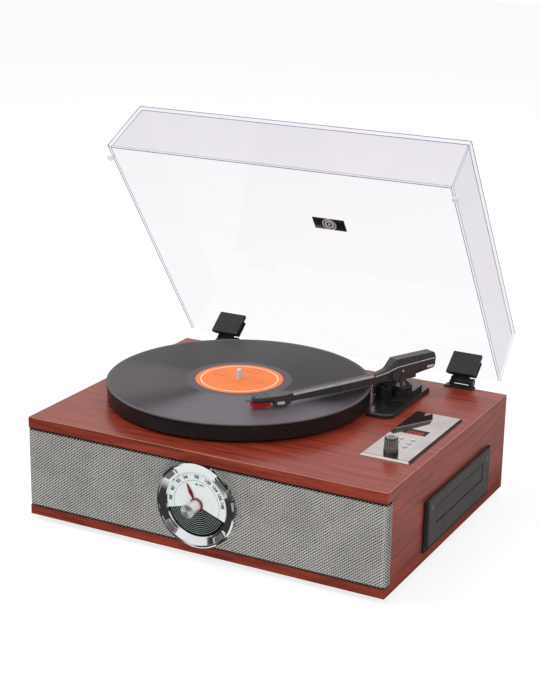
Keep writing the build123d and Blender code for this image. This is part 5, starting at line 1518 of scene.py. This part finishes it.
@dataclass
class Tonearm:
    """The arm, its bearing bracket, its base and the cue lift."""

    pivot_x: float = 110.0
    pivot_y: float = 102.0
    turn: float = -116.0
    box_half: float = 9.0
    seam_highlight_path: tuple[Triple, ...] = (
        (-42.5, 9.05, 161.7),
        (-15.5, 9.05, 160.9),
        (13.0, 9.05, 159.9),
        (25.0, 5.45, 154.7),
        (42.0, 4.35, 152.4),
    )
    shoulder_highlight_path: tuple[Triple, ...] = ((156.5, 3.62, 152.5), (99.5, 4.02, 152.15), (44.0, 4.32, 152.15))
    shop: Workshop = field(repr=False, default=None)

    def frame(self) -> Matrix:
        """Give the arm's frame: X forward along the tube, Z up from the floor."""
        return Matrix.Translation(at(self.pivot_x, self.pivot_y, 0.0)) @ turned("Z", self.turn)

    def build(self) -> None:
        """Dress the arm and add its trim and its painted highlight strips."""
        self.shop.dress(Paint.ARM, "arm_shell", "headshell", "arm_yoke")
        self.shop.dress(Paint.POLISHED, "counterweight")
        self.shop.dress(Paint.BLACK_STEEL, "arm_pin")
        self.shop.dress(Paint.DARK, "cartridge")
        self.shop.dress(Paint.RED, "stylus")
        self.shop.dress(Paint.BASE, "tonearm_base", "cue_column", "cue_platform", "speed_knob")
        self.shop.dress(Paint.GREY, "cue_lever")
        self._screw()
        self._seam_highlight()
        self._tube_highlight_band()
        self._tags()

    def _both_sides(self, name: str, section: Points, path: tuple[Triple, ...]) -> Piece:
        """Carry a section along both sides of the arm.

        Args:
            name: The piece's name.
            section: Its outline on the left side.
            path: The points on the left side.

        Returns:
            The two bars, joined.
        """
        bars = []
        for side in (1, -1):
            outline = [(side * y, z) for y, z in section]
            bars.append(swept(name, self.frame(), outline, [Vector((s, side * y, z)) for s, y, z in path]))
        return joined(name, bars)

    def _seam_highlight(self) -> None:
        """Run a painted highlight, a pale raised strip, along the parting line on both sides of the housing.
        """
        section = [(-0.3, -0.4), (0.25, -0.4), (0.25, 0.35), (-0.3, 0.35)]
        self.shop.add(self._both_sides("arm_seam_highlight", section, self.seam_highlight_path), "arm", Paint.SILVER)

    def _tube_highlight_band(self) -> None:
        """Lay a painted highlight, a satin grey strip, along the tube's shoulders."""
        section = [(0.0, 0.0), (0.2, 0.12), (-1.3, 2.5), (-1.5, 2.38)]
        self.shop.add(self._both_sides("tube_highlight_band", section, self.shoulder_highlight_path), "arm", Paint.SATIN)

    def _tags(self) -> None:
        """Fix the plain tags on the housing's tail and on the headshell's box."""
        tail = bevelled(start_block("tail_tag", mm(-41.0, 8.9, 151.4), mm(-31.0, 9.25, 154.2)), 0.1)
        tail.matrix_world = self.frame()
        settle(tail)
        head = bevelled(start_block("head_tag", mm(9.5, 7.2, 145.2), mm(18.0, 7.75, 148.6)), 0.1)
        head.matrix_world = self.frame() @ moved(158.0, 0.0, 0.0) @ turned("Z", -16)
        settle(head)
        self.shop.add(joined("arm_tags", [tail, head]), "arm", Paint.SILVER)

    def _screw(self) -> None:
        """Set the bright screw in the housing's side."""
        place = self.frame() @ moved(4.5, self.box_half - 0.9, 154.0) @ turned("X", -90)
        profile = [(0.3, -0.5), (1.5, -0.5), (1.5, 0.25), (1.1, 0.55), (0.3, 0.55)]
        self.shop.add(spun("arm_screw", place, profile, 24), "arm", Paint.SILVER)


@dataclass
class ControlPlate:
    """The mirror plate with its knob, display and buttons."""

    x: float = 174.8
    window_y: float = -5.5
    buttons_y: float = -40.0
    button_x: float = 13.5
    button_y: float = 11.0
    plate_top: float = 123.3
    knob_y: float = -72.0
    knob_height: float = 16.9
    groove_y: float = -87.2
    rib_highlights: int = 24
    figures: tuple[str, ...] = ("abged", "abcdef", "abcdef", "abcdefg")
    figure_pitch: float = 4.76
    figure_low: float = 5.6
    bar: float = 0.7
    bar_length: float = 3.0
    keys: tuple[str, ...] = ("ON", "I<", "<<", "M", ">I", ">>")
    shop: Workshop = field(repr=False, default=None)

    def build(self) -> None:
        """Dress the plate and print its marks."""
        self.shop.dress(Paint.MIRROR, "control_plate")
        self.shop.dress(Paint.SMOKED, "display_window")
        self.shop.dress(Paint.CIRCUIT, "switch_board", "main_board")
        self.shop.dress(Paint.ZINC, "volume_pot")
        self.shop.dress(Paint.SMOKED_CHROME, "volume_knob")
        # Painted reflection: the chrome buttons take a pale silver paint for their bright reflections.
        self.shop.dress(Paint.SILVER, *(f"button_{i}" for i in range(1, 7)))
        self._digits()
        self._captions()
        self._knob_cap()
        self._groove_shade()

    def _digits(self) -> None:
        """Light four plain seven-segment figures behind the window."""
        half = self.bar_length / 2
        segments = {"a": (0.0, 4 * half + 0.2), "g": (0.0, 2 * half + 0.1), "d": (0.0, 0.0)}
        segments |= {"b": (1.7, 4.65), "c": (1.7, 1.55), "f": (-1.7, 4.65), "e": (-1.7, 1.55)}
        lying = self._bar("lying_bar", self.bar_length, self.bar)
        standing = self._bar("standing_bar", self.bar, self.bar_length * 0.8)
        bars = []
        for i, lit in enumerate(self.figures):
            middle = self.x + (i - 1.5) * self.figure_pitch
            for key in lit:
                dx, dy = segments[key]
                place = at(middle + dx, self.window_y - self.figure_low + dy, self.plate_top)
                bars.append(copied(lying if key in "agd" else standing, Matrix.Translation(place)))
        for first in (lying, standing):
            make_current(first)
            bpy.ops.object.delete()
        self.shop.add(joined("display_figures", bars), "root", Paint.LED)

    def _bar(self, name: str, wide: float, tall: float) -> Piece:
        """Make one bar of a figure, its middle at the origin."""
        low = mm(-wide / 2, -tall / 2, 0.0)
        return bevelled(start_block(name, low, mm(wide / 2, tall / 2, 0.06)), 0.02, 1)

    def _knob_cap(self) -> None:
        """Turn the bright dished cap of the volume knob, and set pale ribs round its side as painted
        highlights.
        """
        place = Matrix.Translation(at(self.x, self.knob_y, self.plate_top + self.knob_height))
        profile = [(0.05, 0.0), (5.5, 0.0), (5.7, 0.25), (5.2, 0.5), (4.4, 0.3), (0.05, 0.22)]
        self.shop.add(spun("knob_cap", place, profile, 48), "volume", Paint.CHROME)
        # Painted highlight: pale satin ribs stand in for the bright lines on the dark ribbed knob.
        rib_highlight = bevelled(start_block("rib_highlight", mm(-0.4, -0.28, -5.2), mm(0.3, 0.28, 5.2)), 0.12, 1)
        spoke = moved(7.25, 0.0, -7.6) @ turned("Y", -2.7)
        places = [place @ turned("Z", 360 * i / self.rib_highlights) @ spoke for i in range(self.rib_highlights)]
        self.shop.add(repeated("knob_rib_highlights", rib_highlight, places), "volume", Paint.SATIN)

    def _groove_shade(self) -> None:
        """Paint shade into the groove behind the plate's front lip: a black strip."""
        low = at(self.x - 25.2, self.groove_y, self.plate_top - 0.45)
        high = at(self.x + 26.6, self.groove_y + 0.7, self.plate_top + 0.02)
        self.shop.add(bevelled(start_block("plate_groove_shade", low, high), 0.05, 1), "root", Paint.BLACK_GAP)

    def _captions(self) -> None:
        """Print a plain mark beside each button: short words, bars and arrows of the usual keys."""
        marks = []
        for i, word in enumerate(self.keys):
            column, row = divmod(i, 3)
            x = self.x + (column - 0.5) * self.button_x + 5.4
            y = self.buttons_y + (1 - row) * self.button_y
            spot = Matrix.Translation(at(x, y, self.plate_top + PRINT_DEPTH))
            marks.append(lettering("caption", word, 3.0, spot, bold=0.07))
        self.shop.add(joined("button_captions", marks), "root", Paint.PALE_INK)


@dataclass
class DiscUnit:
    """The disc player's bezel, tray and case."""

    face_x: float = 220.0
    tray_y: float = 19.5
    tray_z: float = 54.0
    tray_length: float = 135.0
    tray_height: float = 19.0
    line: float = 0.9
    middle_z: float = 49.5
    flange: tuple[float, float] = (190.0, 58.0)
    shop: Workshop = field(repr=False, default=None)

    def build(self) -> None:
        """Dress the disc player, and add the tray's outline and the flange's skin."""
        self.shop.dress(Paint.CHARCOAL, "cd_bezel", "cd_tray")
        self.shop.dress(Paint.STEEL, "cd_screws")
        self.shop.dress(Paint.ZINC, "cd_chassis")
        self._outline()
        self._flange()

    def _flange(self) -> None:
        """Skin the bezel's flange in black, behind its grey face."""
        half_y, half_z = self.flange[0] / 2 + 0.1, self.flange[1] / 2 + 0.1
        low = at(self.face_x - 4.9, self.tray_y + 1.5 - half_y, self.middle_z - 2.5 - half_z)
        high = at(self.face_x - 2.7, self.tray_y + 1.5 + half_y, self.middle_z - 2.5 + half_z)
        self.shop.add(bevelled(start_block("cd_flange_skin", low, high), 0.5, 2), "root", Paint.BLACK_GAP)

    def _outline(self) -> None:
        """Frame the tray with a thin dark line: a plate inset and opened in the middle."""
        half_y = self.tray_length / 2 + self.line
        half_z = self.tray_height / 2 + self.line
        low = at(self.face_x, self.tray_y - half_y, self.tray_z - half_z)
        high = at(self.face_x + 0.06, self.tray_y + half_y, self.tray_z + half_z)
        plate = start_block("tray_outline", low, high)
        with editing(plate, faces=lambda face: abs(face.normal.x) < 0.5):
            bpy.ops.mesh.delete(type="FACE")
        with editing(plate, faces=lambda face: True):
            bpy.ops.mesh.inset(thickness=self.line * MM)
            bpy.ops.mesh.delete(type="FACE")
        middle = at(self.face_x + 0.03, 0.0, 0.0).x
        with editing(plate, faces=lambda face: face.calc_center_median().x < middle):
            bpy.ops.mesh.delete(type="FACE")
        self.shop.add(plate, "root", Paint.BLACK_GAP)


@dataclass
class DustCover:
    """The clear lid with its clips, bumpers, badge and hinge brackets."""

    hinge_y: float = 175.0
    hinge_z: float = 125.5
    opened: float = 54.7
    ceiling: float = 192.5
    badge_y: float = 4.6
    badge: tuple[float, float, float] = (40.5, 18.0, 1.2)
    edge: float = 0.85
    shop: Workshop = field(repr=False, default=None)

    def frame(self, x: float, y: float, z: float) -> Matrix:
        """Give a frame on the open lid from a place on the closed one, its Z downwards into it."""
        hinge = at(0.0, self.hinge_y, self.hinge_z)
        swing = Matrix.Translation(hinge) @ turned("X", -self.opened) @ Matrix.Translation(-hinge)
        return swing @ Matrix.Translation(at(x, y, z)) @ turned("X", 180)

    def build(self) -> None:
        """Dress the lid and its fittings, and add the painted reflections along its edges and the badge's
        ring.
        """
        self.shop.dress(Paint.ACRYLIC, "dust_cover")
        # Painted highlight: the clear bumpers are painted white for their bright glints.
        self.shop.dress(Paint.BUMPER, "lid_bumpers")
        self.shop.dress(Paint.DARK, "lid_clips", "hinge_brackets")
        self.shop.dress(Paint.POLISHED, "hinge_pins")
        self._edge_reflections()
        self._badge()

    def _edge_reflections(self) -> None:
        """Draw the painted reflection of the lid's polished edges: its flat faces taken away, a thin bar
        along each fold.
        """
        cover = self.shop.nodes["dust_cover"]
        make_current(cover)
        bpy.ops.object.duplicate()
        edges = bpy.context.object
        edges.name = "lid_edge_reflections"
        edges.data.materials.clear()
        with editing(edges):
            bpy.ops.mesh.select_all(action="SELECT")
            bpy.ops.mesh.remove_doubles(threshold=0.00001)
            bpy.ops.mesh.dissolve_limited(angle_limit=math.radians(3))
        frame = edges.modifiers.new("bars", "WIREFRAME")
        frame.thickness = self.edge * MM
        frame.use_even_offset = False
        frame.use_boundary = True
        make_current(edges)
        bpy.ops.object.modifier_apply(modifier=frame.name)
        closed = (self.frame(0.0, 0.0, 0.0) @ turned("X", 180)).inverted()

        def faint(face: Any) -> bool:
            """Tell whether a bar lies on a fold that the sheet hides: the roof's left and rear ones."""
            place = (closed @ face.calc_center_median()) / MM
            return place.z > self.ceiling - 8.0 and (place.x < -150.0 or place.y > 120.0) or place.y > 150.0

        with editing(edges, faces=faint):
            bpy.ops.mesh.delete(type="FACE")
        self.shop.add(edges, "lid", Paint.LID_EDGE)

    def _badge(self) -> None:
        """Set a plain ring and a stud on the badge."""
        face = self.ceiling - self.badge[2]
        place = self.frame(0.0, self.badge_y, face)
        halo = spun("badge_ring", place, [(7.4, 0.0), (8.9, 0.0), (8.8, 0.45), (8.1, 0.7), (7.5, 0.45)], 48)
        inner = spun("badge_inner", place, [(3.6, 0.0), (6.0, 0.0), (5.8, 0.4), (4.8, 0.6), (3.8, 0.4)], 48)
        stud = spun("badge_stud", place, [(0.05, 0.0), (1.7, 0.0), (1.4, 0.4), (0.05, 0.6)], 24)
        self.shop.add(joined("badge_ring", [halo, inner, stud]), "lid", Paint.SILVER)
        wide, tall, thick = self.badge
        low = mm(-wide / 2, -tall / 2, -thick)
        plate = bevelled(start_block("badge_plate", low, mm(wide / 2, tall / 2, 0.0)), 0.3)
        plate.matrix_world = place
        self.shop.add(plate, "lid", Paint.GLOSS, ("lid_badge",))


@dataclass
class RearSockets:
    """Line sockets, mains inlet and power switch."""

    shop: Workshop = field(repr=False, default=None)

    def build(self) -> None:
        """Dress the sockets and the switch."""
        self.shop.dress(Paint.DARK, "rear_sockets", "power_rocker")


@dataclass(frozen=True)
class Lamp:
    """A soft square lamp: its place and side in metres, and its power in watts."""

    name: str
    place: Triple
    size: float
    power: float

    def hang(self, target: Vector) -> None:
        """Hang the lamp.

        Args:
            target: What it points at, in metres.
        """
        data = bpy.data.lights.new(self.name, "AREA")
        data.size = self.size
        data.energy = self.power
        lamp = bpy.data.objects.new(self.name, data)
        lamp.location = self.place
        lamp.rotation_euler = (target - lamp.location).to_track_quat("-Z", "Y").to_euler()
        lamp.visible_glossy = False
        bpy.context.scene.collection.objects.link(lamp)


@dataclass
class Studio:
    """The camera, the lamps, the world and the floor."""

    focal: float = 1582.96
    middle: tuple[float, float] = (281.79, 356.29)
    place: tuple[float, float, float] = (773.27, -1487.88, 723.20)
    right: tuple[float, float, float] = (0.8864853, 0.46239732, 0.01823537)
    up: tuple[float, float, float] = (-0.15825476, 0.26589706, 0.95092281)
    forward: tuple[float, float, float] = (-0.43485543, 0.84586492, -0.30889041)
    picture: tuple[int, int] = (540, 700)
    floor_size: float = 12.0
    lamps: tuple[Lamp, ...] = (
        Lamp("key", (-1.2, -0.7, 2.1), 1.2, 26.0),
        Lamp("fill", (1.9, -0.9, 1.2), 1.4, 7.5),
        Lamp("rim", (0.3, 1.9, 1.8), 1.2, 14.0),
    )

    def camera(self) -> None:
        """Stand the camera where the object is seen from."""
        width, height = self.picture
        data = bpy.data.cameras.new("camera")
        data.sensor_fit = "VERTICAL"
        data.sensor_height = 36.0
        data.lens = self.focal * data.sensor_height / height
        data.shift_x = -(self.middle[0] - width / 2) / height
        data.shift_y = (self.middle[1] - height / 2) / height
        data.clip_start = 0.01
        eye = bpy.data.objects.new("camera", data)
        bpy.context.scene.collection.objects.link(eye)
        back = -Vector(self.forward)
        axes = Matrix((self.right, self.up, back)).transposed().to_4x4()
        eye.matrix_world = Matrix.Translation(at(*self.place)) @ axes
        bpy.context.scene.camera = eye

    def world(self) -> None:
        """Make the air white to the eye, and a studio with dark cards to gloss."""
        world = bpy.data.worlds.new("studio")
        world.use_nodes = True
        bpy.context.scene.world = world
        graph = Graph(world.node_tree)
        sky = world.node_tree.nodes["Background"]
        path = graph.add("ShaderNodeLightPath")
        way = graph.add("ShaderNodeTexCoord").outputs["Generated"]
        x, y, z = graph.apart(way)
        low = graph.steps(z, 0.62, 0.4)
        aside = graph.math("MULTIPLY", graph.steps(graph.math("ABSOLUTE", x), 0.52, 0.8), 0.94)
        front = graph.math("MULTIPLY", graph.steps(y, 0.1, -0.4), 0.7)
        right = graph.math("MULTIPLY", graph.steps(x, -0.1, 0.35), 0.6)
        rear = graph.math("MULTIPLY", graph.steps(x, 0.1, 0.28), graph.steps(y, 0.3, 0.6))
        rear = graph.math("MULTIPLY", rear, 0.92)
        card = aside
        for other in (front, right, rear):
            card = graph.math("MAXIMUM", card, other)
        panel = graph.math("MULTIPLY", graph.steps(x, 0.0, -0.2), graph.steps(y, -0.45, -0.65))
        card = graph.math("MULTIPLY", card, graph.math("SUBTRACT", 1.0, panel))
        gloss = graph.math("SUBTRACT", 1.0, graph.math("MULTIPLY", low, card))
        fall = graph.math("MAXIMUM", graph.steps(z, 0.22, 0.4, 0.5, 1.0), graph.steps(y, 0.5, 0.2))
        gloss = graph.math("MULTIPLY", gloss, fall)
        clear = graph.math("MAXIMUM", path.outputs["Is Camera Ray"], path.outputs["Is Transmission Ray"])
        seen = graph.blend(path.outputs["Is Glossy Ray"], (0.62, 0.62, 0.63), gloss)
        graph.put(sky.inputs["Color"], graph.blend(clear, seen, (1.0, 1.0, 1.0)))
        sky.inputs["Strength"].default_value = 1.0

    def floor(self) -> None:
        """Lay a white floor that keeps a soft shadow, and that gloss sees bright only from above."""
        deselect_all()
        bpy.ops.mesh.primitive_plane_add(size=self.floor_size, location=(0.0, 0.0, -0.0002))
        floor = named("floor")
        material, graph, shader = start_material("floor")
        shader.inputs["Base Color"].default_value = (0.9, 0.9, 0.9, 1.0)
        shader.inputs["Roughness"].default_value = 0.9
        shader.inputs["Specular IOR Level"].default_value = 0.0
        path = graph.add("ShaderNodeLightPath")
        slant = graph.add("ShaderNodeLayerWeight", {"Blend": 0.5}).outputs["Facing"]
        gloss = graph.steps(slant, 0.34, 0.5, 0.98, 0.045)
        beside = graph.steps(graph.apart(graph.place())["X"], 0.2, 0.27, 0.0, 0.42)
        gloss = graph.math("MAXIMUM", gloss, beside)
        level = graph.blend(path.outputs["Is Glossy Ray"], (1.15, 1.15, 1.15), gloss)
        glow = graph.add("ShaderNodeEmission", {"Color": level, "Strength": 1.0})
        seen = graph.math("MAXIMUM", path.outputs["Is Camera Ray"], path.outputs["Is Transmission Ray"])
        share = graph.math("MAXIMUM", graph.math("MULTIPLY", seen, 0.68), path.outputs["Is Glossy Ray"])
        mix = graph.add("ShaderNodeMixShader", {0: share, 1: shader.outputs[0], 2: glow.outputs[0]})
        graph.put(material.node_tree.nodes["Material Output"].inputs["Surface"], mix.outputs[0])
        floor.data.materials.append(material)

    def light(self) -> None:
        """Hang the lamps and set the world and the view."""
        scene = bpy.context.scene
        scene.view_settings.view_transform = "Standard"
        self.world()
        for lamp in self.lamps:
            lamp.hang(mm(0.0, 0.0, 100.0))


def main() -> None:
    """Dress the whole music centre, and set up its camera, floor and lamps."""
    logging.basicConfig(level=logging.INFO, format="%(message)s")
    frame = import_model()
    studio = Studio()
    studio.camera()
    shop = Workshop(frame["nodes"])
    kinds = (Cabinet, Grille, Dial, Turntable, Tonearm, ControlPlate, DiscUnit, DustCover, RearSockets)
    for kind in kinds:
        kind(shop=shop).build()
        LOG.info("built %s", kind.__name__)
    studio.floor()
    studio.light()


if __name__ == "__main__":
    main()
